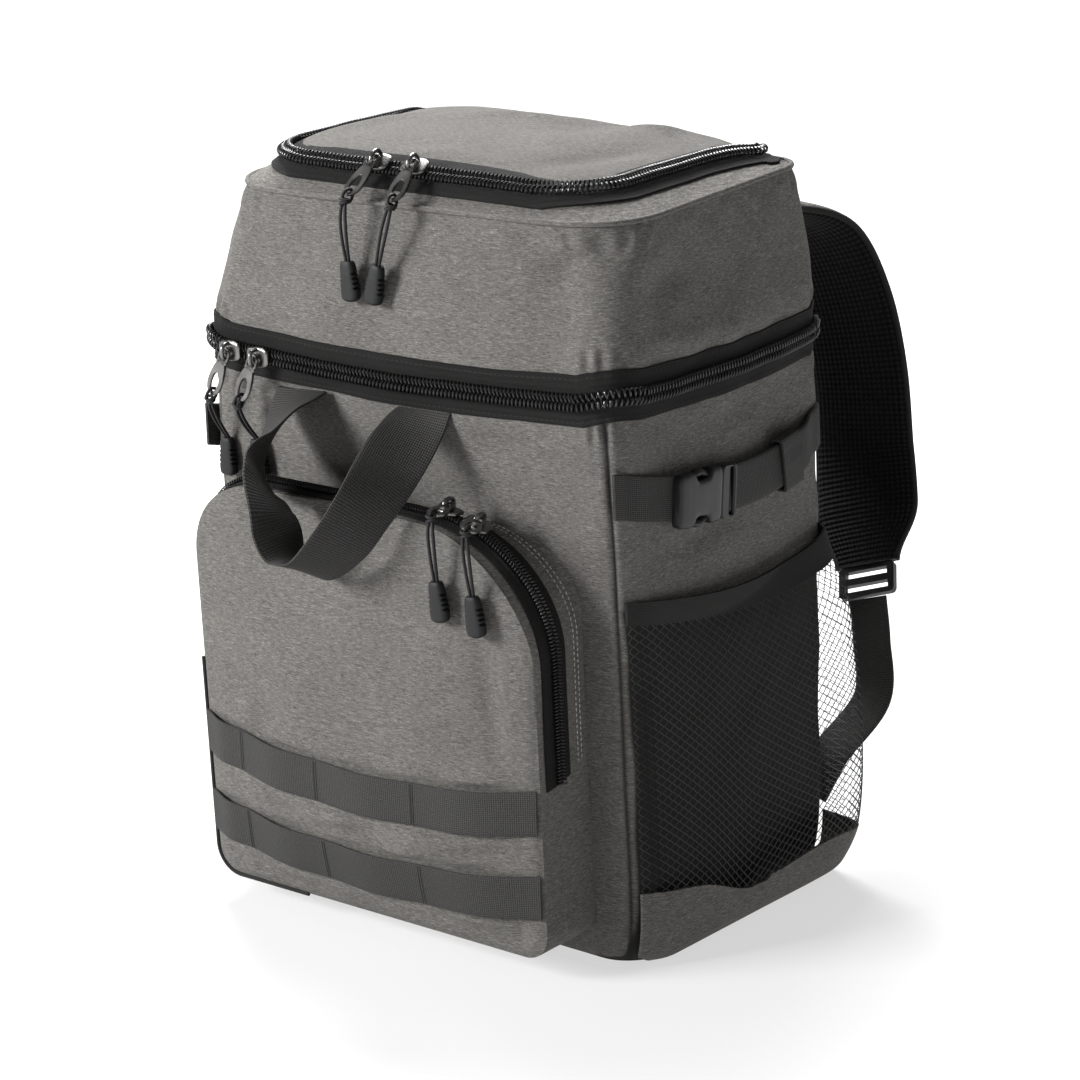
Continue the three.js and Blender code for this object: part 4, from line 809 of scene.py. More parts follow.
# Front of the body at x and z: steps along the section until its x is met.
def bodyFrontAt(x, z):
    x, z = np.broadcast_arrays(np.asarray(x, float), np.asarray(z, float))
    place = np.full(x.shape, 0.5)
    here = bodyAt(place, z / seamHeight)
    for _ in range(6):
        up = z / seamAt(here[..., 1])
        here = bodyAt(place, up)
        ahead = bodyAt(place + 1e-3, up)
        place = np.clip(place + (x - here[..., 0]) / (ahead[..., 0] - here[..., 0]) * 1e-3, -0.45, 1.45)
    return here[..., 1]


# The pocket's outline at a place round it; depth 0 is the body, 1 its front edge, 2 the middle
# of its face.
def pocketAt(place, depth):
    place, depth = np.broadcast_arrays(np.asarray(place, float), np.asarray(depth, float))
    shrink = 1 - np.maximum(0, depth - 1)
    inside = 1 - clamp01(depth)
    rightCorner = mix(pocketCorners["back"], pocketCorners["right"], np.sqrt(clamp01(depth)))
    corners = (np.full(place.shape, float(pocketFoot)), rightCorner,
               np.full(place.shape, float(pocketCorners["left"])), np.full(place.shape, float(pocketFoot)))
    flatX, flatZ, _, _ = roundedAt(place, pocketWidth / 2, pocketBottom, pocketTop, corners, 0.0, 0.0)
    upper = smooth((flatZ - pocketMiddle) / pocketHalf)
    droop = pocketDroop * upper * smooth(2 * flatX / pocketWidth)
    z = pocketMiddle + (flatZ - pocketMiddle) * shrink - pocketSag * inside * inside * upper - droop
    x = flatX * shrink + pocketCentre(z) + 2 * inside * np.sign(flatX)
    gusset = mix(bodyFrontAt(x, z) - clearance, pocketFront, depth)
    return np.stack([x, np.where(depth >= 1, pocketFace(x, z), gusset), z], -1)


# Zips: the run of each on its surface, and the lift of its chain.
tapeThickness = 1
chainLift = 2 * clearance + tapeThickness
zipTables = {
    "lid": {"surface": crownCloth, "run": lambda s: (s, lidEdge(s)), "span": (-2.5, 3.5), "tape": 24,
            "chain": 10.5, "depth": 4.6, "foot": 2 * clearance, "lift": chainLift + 2 * clearance,
            "pitch": 2.6, "wire": 0.63},
    "middle": {"surface": bodyCloth, "run": lambda s: (s, zipShare(s)), "span": (-2.5, 3.5),
               "tape": bodyTapeWidth, "chain": 10.5, "depth": 4.6, "foot": clearance, "lift": chainLift,
               "pitch": 2.6, "wire": 0.63},
    "pocket": {"surface": pocketAt, "run": lambda s: (s, np.full(np.shape(s), pocketZipDepth)), "tape": 20,
               "chain": 7.5, "depth": 3.2, "foot": clearance, "lift": chainLift, "pitch": 1.9, "wire": 0.46},
}


# Place at height z on the pocket's straight side: 2 plus the share of that side below z.
def pocketSidePlace(z, corner):
    return 2 + (z - pocketBottom - pocketFoot) / (pocketTop - corner - pocketBottom - pocketFoot)


zipTables["pocket"]["span"] = (
    pocketSidePlace(pocketZipEnd, pocketCorners["right"]),
    9 - pocketSidePlace(pocketZipEnd, pocketCorners["left"]),
)

# Pulls: where each sits, the direction of its tab, and how its cord hangs
sliderThickness = 3
bridgeHeight = 6
bridgeWire = 2.2
tabLength = 28
tabWidth = 11.5
tabThickness = 1.8
cordLength = 34
cordDiameter = 1.9
endLength = 22.5
endWidth = 11.8
endThickness = 6.6
pulls = [
    ("lid_left", "lid", 0.343, (-0.12, -0.75, -0.66), (0.08, -1), 1, 1),
    ("lid_right", "lid", 0.51, (0.09, -0.75, -0.65), (-0.22, -1), 1, 1),
    ("middle_left", "middle", 0.03, (-0.42, -0.1, -1), (0, -1), 1, 0.8),
    ("middle_right", "middle", 0.12, (-0.42, -0.1, -1), (0.1, -1), 0.98, 0.7),
    ("pocket_left", "pocket", 1.02, (0.3, -0.95, 0), (0.12, -1), 0.82, 1),
    ("pocket_right", "pocket", 1.2, (0.36, -0.92, 0), (0.12, -1), 0.82, 1),
]


# Least y of the cloth behind the width of a cord end at x and z.
def restFront(x, z, overPocket):
    reach = np.array([-endWidth / 2, 0, endWidth / 2]) + x
    front = pocketFace(reach, min(z, pocketTop)) if overPocket else bodyFrontAt(reach, np.full(3, z))
    return float(front.min())


# The frame of one pull, as the CAD places it: seat on the chain, tab on its bridge, cord line.
def pullFrame(row):
    name, zipName, at, fall, hang, long, cord = row
    table = zipTables[zipName]
    share = np.array([mix(5, 4, at) if zipName == "pocket" else at])
    u, v = table["run"](share)
    surface = {"lid": crownAt, "middle": bodyAt, "pocket": pocketAt}[zipName]
    out = outward(surface, u, v)[0]
    seat = surface(u, v)[0]
    ahead = unitVector(surface(u + 1e-3, v)[0] - seat)
    if ahead[0] < 0:
        ahead = -ahead
    seat = seat + out * (table["lift"] + table["depth"] + clearance)
    down = unitVector(np.array(fall, float))
    flat = unitVector(ahead - (ahead @ down) * down)
    tabPlace = seat + out * (sliderThickness + (bridgeHeight - bridgeWire) / 2)
    cordTop = tabPlace + down * (long * tabLength + 2 * clearance)
    hangWay = np.array([hang[0], 0, hang[1]], float)
    cordBottom = cordTop + hangWay * cord * cordLength
    rest = restFront(cordBottom[0], cordBottom[2] - endLength, zipName == "pocket")
    cordBottom[1] = rest - (endThickness / 2 + 3 * clearance)
    bend = cordTop + down * cordLength * 0.25
    return {"name": name, "seat": seat, "out": out, "ahead": ahead, "down": down, "flat": flat,
            "tab": tabPlace, "long": long * tabLength, "top": cordTop, "bend": bend,
            "bottom": cordBottom, "tip": unitVector(hangWay)}


pullFrames = [pullFrame(row) for row in pulls]


# (1 - t)^2 a + 2 t (1 - t) b + t^2 c.
def bezier(a, b, c, t):
    t = np.asarray(t, float)[:, None]
    return (1 - t) ** 2 * a + 2 * t * (1 - t) * b + t * t * c


# Rubber end: a flat superellipse section that widens, with four notches in each side and a
# rounded foot; the notches narrow it by a row of bells.
def cordEndShape(p):
    wide = unitVector(np.array([1.0, 0, 0]) - p["tip"][0] * p["tip"])
    thick = np.cross(wide, -p["tip"])
    rows, ring = 72, 36
    t = np.linspace(0, 1, rows)
    share = along({"t": [0, 0.08, 0.3, 0.6, 0.86, 0.95, 1], "w": [0.6, 0.74, 0.86, 1, 0.98, 0.82, 0.45]},
                  "t", "w", t)
    notch = sum(np.exp(-(((t - m) / 0.026) ** 4)) for m in (0.3, 0.42, 0.54, 0.66))
    angle = np.arange(ring) * 2 * math.pi / ring
    c, s = np.cos(angle), np.sin(angle)
    roundC = signedPower(c, 0.62)
    roundS = signedPower(s, 0.75)
    sideways = np.abs(c) ** 3
    halfWide = endWidth / 2 * share[:, None] * (1 - 0.3 * notch[:, None] * sideways[None, :])
    halfThick = endThickness / 2 * np.minimum(1, share + 0.12)[:, None]
    start = p["bottom"] + p["tip"] * 0.6
    centre = start + (t * endLength)[:, None] * p["tip"]
    points = (centre[:, None] + (halfWide * roundC)[..., None] * wide
              + (halfThick * roundS)[..., None] * thick)
    return gridShape(points)


# The doubled cord as one line: up from the rubber end, round the foot of the tab through its
# hole, and down again; the two strands lie side by side, drawn together by a knot.
def cordPath(p):
    gap = cordDiameter * 0.56
    tangent = unitVector(p["bottom"] - p["top"])
    wide = unitVector(p["ahead"] - (p["ahead"] @ tangent) * tangent)
    knot = bezier(p["top"], p["bend"], p["bottom"], [0.16])[0]
    loopTop = p["top"] - p["down"] * 4.6
    centre = (knot + loopTop) / 2
    up = unitVector(loopTop - knot)
    half = np.linalg.norm(loopTop - knot) / 2
    normal = unitVector(np.cross(p["flat"], p["down"]))
    if normal @ p["out"] < 0:
        normal = -normal
    share = np.linspace(0.2, 1.0, 10)
    strand = bezier(p["top"], p["bend"], p["bottom"], share)
    inEnd = strand[-1:] + p["tip"] * 2.5
    strand = np.concatenate([strand, inEnd])
    angle = np.radians(np.linspace(-62, 242, 15))
    t = np.linspace(-1, 1, 15)
    loop = (centre + (half * np.sin(angle))[:, None] * up + (3.1 * np.cos(angle))[:, None] * normal
            + (gap * t)[:, None] * wide)
    slack = gap + 0.7 * np.append(np.sin(math.pi * (share - 0.2) / 0.8), 0)
    sides = slack[:, None] * wide
    return np.concatenate([(strand - sides)[::-1], loop, strand + sides]), knot, wide, tangent


# Two turns of cord round both strands: flat rings as closed tubes.
def knotShapes(knot, wide, tangent):
    thick = unitVector(np.cross(wide, tangent))
    angle = np.linspace(0, 2 * math.pi, 25)[:-1]
    shapes = []
    for step, tilt in ((-0.9, 0.35), (1.0, -0.3)):
        centre = knot + tangent * step
        path = (centre + 2.5 * np.cos(angle)[:, None] * wide + 1.9 * np.sin(angle)[:, None] * thick
                + (tilt * np.cos(angle) * 2)[:, None] * tangent)
        shapes.append(tubeShape(path, cordDiameter / 2, 8, tangent, closed=True))
    return shapes


# Cords come first: each is a curve of one open spline, made with its rubber end and knot.
def makeCords():
    for p in pullFrames:
        path, knot, wide, tangent = cordPath(p)
        curve = bpy.data.curves.new("pull_cord_line_" + p["name"], "CURVE")
        curve.dimensions = "3D"
        curve.bevel_depth = cordDiameter / 2 * unit
        curve.bevel_resolution = 3
        curve.use_fill_caps = True
        spline = curve.splines.new("POLY")
        spline.points.add(len(path) - 1)
        row = np.concatenate([path * unit, np.ones((len(path), 1))], 1)
        spline.points.foreach_set("co", row.ravel())
        curve.materials.append(cordBraid)
        piece = bpy.data.objects.new("pull_cord_line_" + p["name"], curve)
        scene.collection.objects.link(piece)
        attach(piece, "root")
        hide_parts("pull_cord_" + p["name"])
        end = addPiece("rubber_end_" + p["name"], cordEndShape(p), endRubber,
                       ["cord_end_" + p["name"]])
        tie = addPiece("cord_knot_" + p["name"], knotShapes(knot, wide, tangent), cordBraid)


makeCords()


# Columns round the body: a share of places for each side and corner, finer by the seams.
def placesRound(counts, seams=()):
    parts = [np.linspace(k, k + 1, n, endpoint=False) for k, n in enumerate(counts)]
    parts += [s + np.linspace(-0.06, 0.06, 9) for s in seams]
    return np.unique(np.round(np.mod(np.concatenate(parts), 8), 4))


# Cross-seams of the lower body: places round it, depth and half width of the groove
seams = {"places": (1.36, 7.64, 3.3, 5.7), "depth": 1.1, "half": 1.0}
seamRidge = {"high": 0.35, "off": 3, "half": 1.6}
# Painted shade along the grooves: how dark it is and its half width
seamGrooveShade = {"dark": 0.8, "half": 0.8}


# Each seam at distance d is -depth exp(-(d / half)^2) with a low ridge on both sides.
def seamPush(place, scale=24.0):
    push = np.zeros(np.shape(place))
    for s in seams["places"]:
        apart = (np.mod(place - s + 4, 8) - 4) * scale
        push = push - seams["depth"] * np.exp(-((apart / seams["half"]) ** 2))
        beside = (np.abs(apart) - seamRidge["off"]) / seamRidge["half"]
        push = push + seamRidge["high"] * np.exp(-(beside**2))
    return push


# Painted shade in each groove: the groove is darkened by 0.8 exp(-(d / 0.8)^2).
def seamShade(place, scale=24.0):
    mark = np.zeros(np.shape(place))
    for s in seams["places"]:
        apart = (np.mod(place - s + 4, 8) - 4) * scale
        mark = mark + seamGrooveShade["dark"] * np.exp(-((apart / seamGrooveShade["half"]) ** 2))
    return clamp01(mark)


bodyColumns = placesRound((70, 52, 46, 22, 40, 22, 40, 40), seams["places"])

# The side pocket's net, its band and its hem
netHeight = 203
netBulge = 34
mouthGap = 7.5
netThickness = 1
hemHeight = 13
hemThickness = 1.7
bandHeight = 36
bandThickness = 1.6
netPlan = {
    "back": [0, 0.14, 0.35, 0.6, 0.8, 0.91, 0.975, 1],
    "off": [0, 0.22, 0.45, 0.72, 0.94, 0.98, 0.7, 0],
}
netRise = {
    "up": [0, 0.06, 0.2, 0.45, 0.7, 0.87, 0.96, 1],
    "off": [0.36, 0.62, 0.9, 1, 0.9, 0.68, 0.34, 0.22],
}
mouthLine = {"back": [0, 0.35, 0.62, 0.88, 1], "rise": [1.05, 1.005, 0.995, 1.015, 1.04]}
bandLine = {"back": [0, 0.22, 0.4, 0.5, 0.75, 1], "rise": [1.3, 1.15, 0.8, 0.86, 1.05, 0.95]}
netFront = -0.47 * bodyDepth
netBack = 0.495 * bodyDepth


# Height of the net's mouth: netHeight times its line.
def mouthAt(back):
    return netHeight * along(mouthLine, "back", "rise", back)


# Height of the band's upper edge: bandHeight times its line.
def bandAt(back):
    return bandHeight * along(bandLine, "back", "rise", back)


# Side of the body at y and z: steps along the section until its y is met.
def bodySideAt(y, z):
    y, z = np.broadcast_arrays(np.asarray(y, float), np.asarray(z, float))
    up = z / seamAt(y)
    place = np.full(y.shape, 2.5)
    for _ in range(6):
        here = bodyAt(place, up)
        ahead = bodyAt(place + 1e-3, up)
        place = np.clip(place + (y - here[..., 1]) / (ahead[..., 1] - here[..., 1]) * 1e-3, 1.6, 3.4)
    return bodyAt(place, up)[..., 0]


# The net's surface: the body's side plus the bulge of its plan and rise, or the gape of its mouth.
def netAt(back, z):
    up = clamp01(z / mouthAt(back))
    y = mix(netFront, netBack, back)
    gape = mouthGap * np.sin(math.pi * clamp01(back)) ** 0.8 * smooth((up - 0.6) / 0.4)
    swell = netBulge * along(netPlan, "back", "off", back) * along(netRise, "up", "off", up)
    x = bodySideAt(y, z) + clearance + bandThickness + np.maximum(swell, gape)
    return np.stack([x, y, z], -1)


# Darkens the body's sides behind each net, under its mouth, almost to black.
def darkBehindNets(points):
    x, y, z = np.abs(points[:, 0]), points[:, 1], points[:, 2]
    back = clamp01((y - netFront) / (netBack - netFront))
    inside = smooth((y - netFront - 1) / 2) * smooth((netBack - 1 - y) / 2 + 1)
    return 0.93 * inside * smooth((mouthAt(back) - 3 - z) / 3) * (x > 120)


# Lower compartment: the body's cloth from the floor to the middle zip, with its cross-seams,
# closed by fans below and above.
def makeLowerBody():
    shares = np.concatenate([np.linspace(0, 0.02, 8), np.linspace(0.028, 1, 150)])
    place, share = np.meshgrid(bodyColumns, shares)
    top = zipShare(place) - clearance / 2 / seamHeight
    up = share * top
    fade = smooth((top - up) * 40) * smooth(up * 60)
    plain = bodyCloth(place, up)
    side = plain + outward(bodyAt, place, up) * (seamPush(place) * fade)[..., None]
    side[0, :, 2] = 0
    base = side[0]
    centre = base.mean(0)
    floor = np.stack([mix(base, centre, k) for k in (0.7, 0.4, 0.15)])
    shut = np.stack([mix(side[-1], side[-1].mean(0), k) for k in (0.04, 0.4)])
    points = np.concatenate([floor, side, shut])
    shape = gridShape(points)
    marks = np.concatenate([np.zeros((3, len(bodyColumns))), seamShade(place) * fade,
                            np.zeros((2, len(bodyColumns)))]).ravel()
    marks = np.concatenate([marks, [0, 0]])
    body = addPiece("lower_cloth", shape, heather, ["lower_body"],
                    shade=lambda p: np.maximum(marks, darkBehindNets(p)))
    print("lower body made")


# Upper compartment: the body's cloth above the middle zip, then the crown in to the lid's
# edge, and piping along the top seam.
def makeUpperBody():
    place, share = np.meshgrid(bodyColumns, np.linspace(0, 1, 78))
    low = zipShare(place) + clearance / 2 / seamHeight
    side = bodyCloth(place, mix(low, 1, share))
    place2, share2 = np.meshgrid(bodyColumns, np.linspace(0.06, 1, 22))
    ring = share2 * (lidEdge(place2) - 0.06)
    crown = crownCloth(place2, ring)
    ease = smooth(share2 * 6)[..., None]
    crown = mix(crownAt(place2, ring), crown, ease)
    side[-1] = bodyAt(place[-1], np.ones(len(bodyColumns)))
    inner = crown[-1] + np.array([0, 0, -4.0])
    inner = mix(inner, inner.mean(0), 0.02)
    foot = np.stack([mix(side[0], side[0].mean(0), k) for k in (0.5, 0.03)])
    deck = np.stack([inner, mix(inner, inner.mean(0), 0.5)])
    shape = gridShape(np.concatenate([foot, side, crown, deck]))
    upper = addPiece("upper_cloth", shape, heather, ["upper_body"])
    columns = np.linspace(0, 8, 420, endpoint=False)
    seam = lifted(bodyAt, columns, np.full(420, 0.999), np.full(420, 0.9))
    piping = tubeShape(seam, pipingRadius["crown"], 8, (0, 0, 1), closed=True)
    addPiece("crown_piping", piping, heather)
    print("upper body made")


# Lid: the crown's cloth inside its edge, puffed by 1.6 smooth(5 s) (1 - 0.4 smooth(1.2 s)) at a
# share s of the way in.
def makeLid():
    columns = placesRound((60, 28, 40, 20, 40, 20, 40, 28))
    place, share = np.meshgrid(columns, np.linspace(0, 1, 60) ** 0.8)
    edge = lidEdge(place) + 0.06
    ring = mix(edge, 5, share)
    puff = 1.6 * smooth(share * 5) * (1 - 0.4 * smooth(share * 1.2))
    top = crownCloth(place, ring) + outward(crownAt, place, ring) * puff[..., None]
    rim = top[0] + np.array([0, 0, -3.6])
    under = np.stack([mix(rim, rim.mean(0), k) for k in (0.9, 0.5, 0.02)])
    lid = addPiece("lid_cloth", gridShape(np.concatenate([under, top])), heatherFlat,
                   ["lid_panel"])
    print("lid made")


# Coil of a zip: two mirrored helices of wire, half a pitch apart, whose heads meet in the middle.
def coilShapes(table, sides=6, perTurn=10):
    s = np.linspace(*table["span"], 1600)
    u, v = table["run"](s)
    middle, ahead, out, across = railOn(table["surface"], u, v)
    reach = reachOf(middle)
    turns = int(reach[-1] / table["pitch"])
    at = np.linspace(0, reach[-1], turns * perTurn + 1)
    middle = readAlong(at, reach, middle)
    ahead, out, across = (unitVector(readAlong(at, reach, k)) for k in (ahead, out, across))
    wire = table["wire"]
    halfWide = (table["chain"] / 2 + 0.55) / 2 - wire
    halfHigh = table["depth"] / 2 - wire
    shapes = []
    for side in (-1, 1):
        turn = 2 * math.pi * at / table["pitch"] + (0 if side < 0 else math.pi)
        sideways = side * (table["chain"] / 2 - wire - halfWide) + side * halfWide * np.cos(turn)
        height = table["lift"] + wire + halfHigh * (1 + np.sin(turn))
        path = middle + sideways[:, None] * across + height[:, None] * out
        shapes.append(tubeShape(path, wire, sides, ahead))
    return shapes


# Tape on a surface, with raised cord lines beside the chain.
def tapeShape(table, count):
    s = np.linspace(*table["span"], count)
    u, v = table["run"](s)
    half = table["tape"] / 2
    edge = table["chain"] / 2
    high = table["foot"] + tapeThickness
    top = [(half - 0.3, high - 0.15), (half - 3, high), (edge + 1.2, high), (edge + 0.2, high + 0.5),
           (edge - 1.5, high + 0.1), (0, high)]
    line = top + [(-a, b) for a, b in top[-2::-1]]
    low = [(-half, table["foot"]), (-half / 2, table["foot"]), (0, table["foot"]), (half / 2, table["foot"]),
           (half, table["foot"])]
    return stripOn(table["surface"], u, v, low + line)


# Tape and coil of each zip.
def makeZips():
    for name, count in (("lid", 420), ("middle", 420), ("pocket", 300)):
        table = zipTables[name]
        addPiece(name + "_tape", tapeShape(table, count), zipTape, [name + "_zip_tape"])
        addPiece(name + "_coil", coilShapes(table), coilGloss, [name + "_zip_chain"])
        print("zip made", name)


# A plate ring: the space between an outer and an inner closed outline, with rounded edges.
def plateRing(outer, inner, frameAt, thick, bevel=0.35):
    half = thick / 2
    way = unitVector(inner - outer)
    columns = [outer + way * bevel, outer, outer, outer + way * bevel,
               inner - way * bevel, inner, inner, inner - way * bevel]
    heights = [half, half - bevel, bevel - half, -half, -half, bevel - half, half - bevel, half]
    centre, x, y, z = frameAt
    points = np.stack([
        centre + c[:, :1] * x + c[:, 1:] * y + h * z for c, h in zip(columns, heights)
    ], 1)
    return gridShape(points, ring=True)


# A rounded box outline as a superellipse.
def roundedOutline(halfWide, halfHigh, x, y, power=0.45, count=48):
    angle = np.linspace(0, 2 * math.pi, count, endpoint=False) + math.pi / 2
    c, s = np.cos(angle), np.sin(angle)
    return np.stack([x + halfWide * signedPower(c, power),
                     y + halfHigh * signedPower(s, power)], 1)


# Pull tab: an eye round the bridge, and a plate that widens round a long oval hole.
def tabShapes(p):
    long = p["long"]
    z = np.cross(p["flat"], -p["down"])
    frameAt = (p["tab"], p["flat"], -p["down"], z)
    angle = np.linspace(0, 2 * math.pi, 64, endpoint=False) + math.pi / 2
    c, s = np.cos(angle), np.sin(angle)
    holeY = -long + tabWidth / 2 + 2.4
    inner = np.stack([(tabWidth / 2 - 2.9) * c, holeY + (tabWidth / 2 + 0.4) * s], 1)
    upper = s > 0
    reach = np.where(upper, -5.6 - holeY, long + holeY)
    halfWide = np.where(upper, mix(tabWidth / 2, 4.2, np.abs(s) ** 1.5), tabWidth / 2)
    power = np.where(upper, 0.5, 1.0)
    outer = np.stack([halfWide * signedPower(c, power),
                      holeY + reach * signedPower(s, 0.9)], 1)
    eyeOuter = roundedOutline(4.1, 3.9, 0, -2.4, 0.5)
    eyeInner = roundedOutline(2.7, 1.8, 0, -3.2, 0.35)
    neck = roundedOutline(4.0, 1.2, 0, -6.4, 0.4)
    neckInner = neck * [0.05, 0.05] + [0, -6.4 * 0.95]
    rings = ((outer, inner), (eyeOuter, eyeInner), (neck, neckInner))
    return [plateRing(a, b, frameAt, tabThickness) for a, b in rings]


# Slider: a loaf that is widest behind its nose, with flanges over the chain, and an upright
# bridge of round wire across it.
def sliderShapes(p):
    x, z = p["ahead"], p["out"]
    y = np.cross(z, x)
    t = np.linspace(-1, 1, 30)
    table = {"t": [-1, -0.9, -0.5, 0, 0.5, 0.85, 1], "w": [3.2, 4.6, 5.2, 5.9, 5.6, 4.6, 3.4],
             "h": [1.7, 2.5, 2.9, 3.0, 2.8, 2.4, 1.6]}
    wide, high = along(table, "t", "w", t), along(table, "t", "h", t)
    angle = np.arange(28) * 2 * math.pi / 28
    c, s = np.cos(angle), np.sin(angle)
    boxC, boxS = signedPower(c, 0.45), signedPower(s, 0.55)
    centre = p["seat"] + (t * 8.2)[:, None] * x + z * 1.2
    lowered = np.where(boxS < 0, 1.4, 1.0)
    points = (centre[:, None] + (wide[:, None] * boxC)[..., None] * y
              + (high[:, None] / 2 * boxS * lowered)[..., None] * z)
    body = gridShape(points)
    arch = np.array([(-4.4, 2.2), (-4.4, 4.4), (-4.0, 6.2), (-2.6, 7.4), (0, 7.9), (2.6, 7.4), (4.0, 6.2),
                     (4.4, 4.4), (4.4, 2.2)])
    k = np.linspace(0, len(arch) - 1, 33)
    side = np.interp(k, np.arange(len(arch)), arch[:, 0])
    rise = np.interp(k, np.arange(len(arch)), arch[:, 1])
    path = p["seat"] + side[:, None] * y + rise[:, None] * z
    bridge = tubeShape(path, 1.1, 10, x, 1.25)
    return [body, bridge]


# Slider and tab of each pull.
def makePulls():
    for p in pullFrames:
        addPiece("zip_slider_" + p["name"], sliderShapes(p), blackNickel,
                 ["slider_" + p["name"]], sharp=60)
        addPiece("zip_tab_" + p["name"], tabShapes(p), blackNickel,
                 ["pull_tab_" + p["name"]], sharp=35)
    print("pulls made")


pocketFolds = [
    ((-92, -148, 118), (-70, -150, 128), 8, 1.4),
    ((-50, -150, 108), (-10, -150, 112), 9, 1.2),
    ((20, -150, 104), (60, -150, 108), 9, 1.4),
    ((70, -150, 112), (104, -146, 118), 7, 1.2),
    ((-84, -150, 76), (-60, -150, 80), 9, 1.4),
    ((-40, -150, 74), (0, -150, 76), 8, 1.5),
    ((20, -150, 70), (80, -148, 76), 8, 1.4),
    ((-100, -148, 150), (-60, -150, 132), 7, -0.9),
    ((90, -146, 200), (100, -146, 130), 8, -1.1),
    ((-110, -140, 60), (-100, -142, 25), 6, -1.0),
    ((-20, -150, 30), (60, -148, 28), 8, -0.9),
    ((-60, -150, 160), (40, -150, 168), 16, 0.8),
    ((104, -140, 60), (108, -138, 24), 6, -1.0),
]
webbingRows = {"upper": 103, "lower": 54, "dip": 8}


# Share of the pocket's half width at x, and the middle height of a row there, which is its height
# less dip (1 - share^2).
def rowAt(row, x):
    height = webbingRows[row]
    share = (x - pocketCentre(height)) / (pocketWidth / 2 - 1)
    return share, height - webbingRows["dip"] * (1 - share * share)


# Cloth lies flat under the webbing rows: the share of its push that is left near them.
def freeOfRows(points):
    free = np.ones(points.shape[:-1])
    for row in ("upper", "lower"):
        middle = rowAt(row, points[..., 0])[1]
        free = free * smooth((np.abs(points[..., 2] - middle) - webbing / 2 - 0.5) / 6)
    return free


# Cloth gathered by the rows: bells 5 mm beyond their edges, higher between the tacks.
def rowPuff(points):
    puff = np.zeros(points.shape[:-1])
    for row, turn in (("upper", 0.4), ("lower", 1.9)):
        share, middle = rowAt(row, points[..., 0])
        wave = (0.55 + 0.45 * np.cos(share * 17 + turn)) * smooth((1 - np.abs(share)) / 0.12)
        for side, rise in ((1, 2.4), (-1, 1.6)):
            apart = (points[..., 2] - middle) * side - webbing / 2 - 5
            puff = puff + rise * wave * np.exp(-((apart / 3.6) ** 2))
    return puff


# The pocket's cloth: its plain surface pushed along its normal, but not at its front edge or
# under the webbing rows.
def pocketCloth(place, depth):
    plain = pocketAt(place, depth)
    out = outward(pocketAt, place, np.where(np.abs(depth - 1) < 2e-3, 1.003, depth))
    push = (foldPush(plain, pocketFolds) + clothWaver(plain, 0.25)) * smooth(np.abs(depth - 1) * 14)
    push = (push + rowPuff(plain) * smooth((depth - 1) * 14)) * freeOfRows(plain)
    return plain + out * push[..., None]


# Front pocket: gusset, edge and face in one grid, the edge drawn in by 1.2 exp(-((d - 1) / 0.02)^2),
# and piping along its left edge.
def makePocket():
    columns = placesRound((60, 20, 60, 48, 60, 44, 50, 20))
    depths = np.concatenate([
        np.linspace(0, 0.94, 30), np.linspace(0.955, 1.045, 9), np.linspace(1.06, 1.97, 84)])
    place, depth = np.meshgrid(columns, depths)
    points = pocketCloth(place, depth)
    edge = np.exp(-(((depth - 1) / 0.02) ** 2))
    points = points + np.array([0, 1.2, 0]) * edge[..., None]
    back = points[0] + np.array([0, 0.2, 0])
    closed = np.stack([mix(back, back.mean(0), 0.6), mix(back, back.mean(0), 0.03)])
    pocket = addPiece("pocket_cloth", gridShape(np.concatenate([closed, points])), heather,
                      ["front_pocket"])
    left = np.linspace(6.35, 8.25, 160)
    rope = lifted(pocketAt, left, np.full(160, 0.975), np.full(160, 0.5))
    piping = tubeShape(rope, pipingRadius["pocket"], 8, (0, 1, 0))
    addPiece("pocket_piping", piping, hemCloth)
    print("pocket made")


# Short threads along a run on a surface: each is a flat bead from one needle hole to the next.
def stitchShapes(surface, u, v, lift, pitch=3.2, length=2.1, radius=0.34):
    line = lifted(surface, u, v, np.full(len(u), lift))
    reach = reachOf(line)
    starts = np.arange(0.5, reach[-1] - length, pitch)
    t = np.linspace(0, 1, 5)
    shapes = []
    for start in starts:
        path = readAlong(start + t * length, reach, line)
        radii = radius * np.sqrt(np.clip(1 - (2 * t - 1) ** 2, 0.12, 1))
        shapes.append(tubeShape(path, radii, 5, (0.3, 0.2, 0.93)))
    return shapes


# Two rows of pale stitches on the pocket's gusset, and one dark row on each half of the
# middle zip's tape.
def makeStitches():
    u = np.linspace(2.55, 5.6, 400)
    shapes = stitchShapes(pocketAt, u, np.full(400, 0.2), 0.35)
    shapes += stitchShapes(pocketAt, u, np.full(400, 0.13), 0.35)
    addPiece("pocket_topstitch", shapes, paleThread)
    s = np.linspace(-2.4, 3.4, 700)
    rows = []
    for offset in (-11.5, 11.5):
        rows += stitchShapes(bodyCloth, s, zipShare(s) + offset / seamHeight, 1.35, 3.4, 2.0, 0.22)
    addPiece("middle_tape_stitch", rows, darkThread)
    print("stitches made")


rowTacks = [-1, -0.72, -0.22, 0.36, 1]


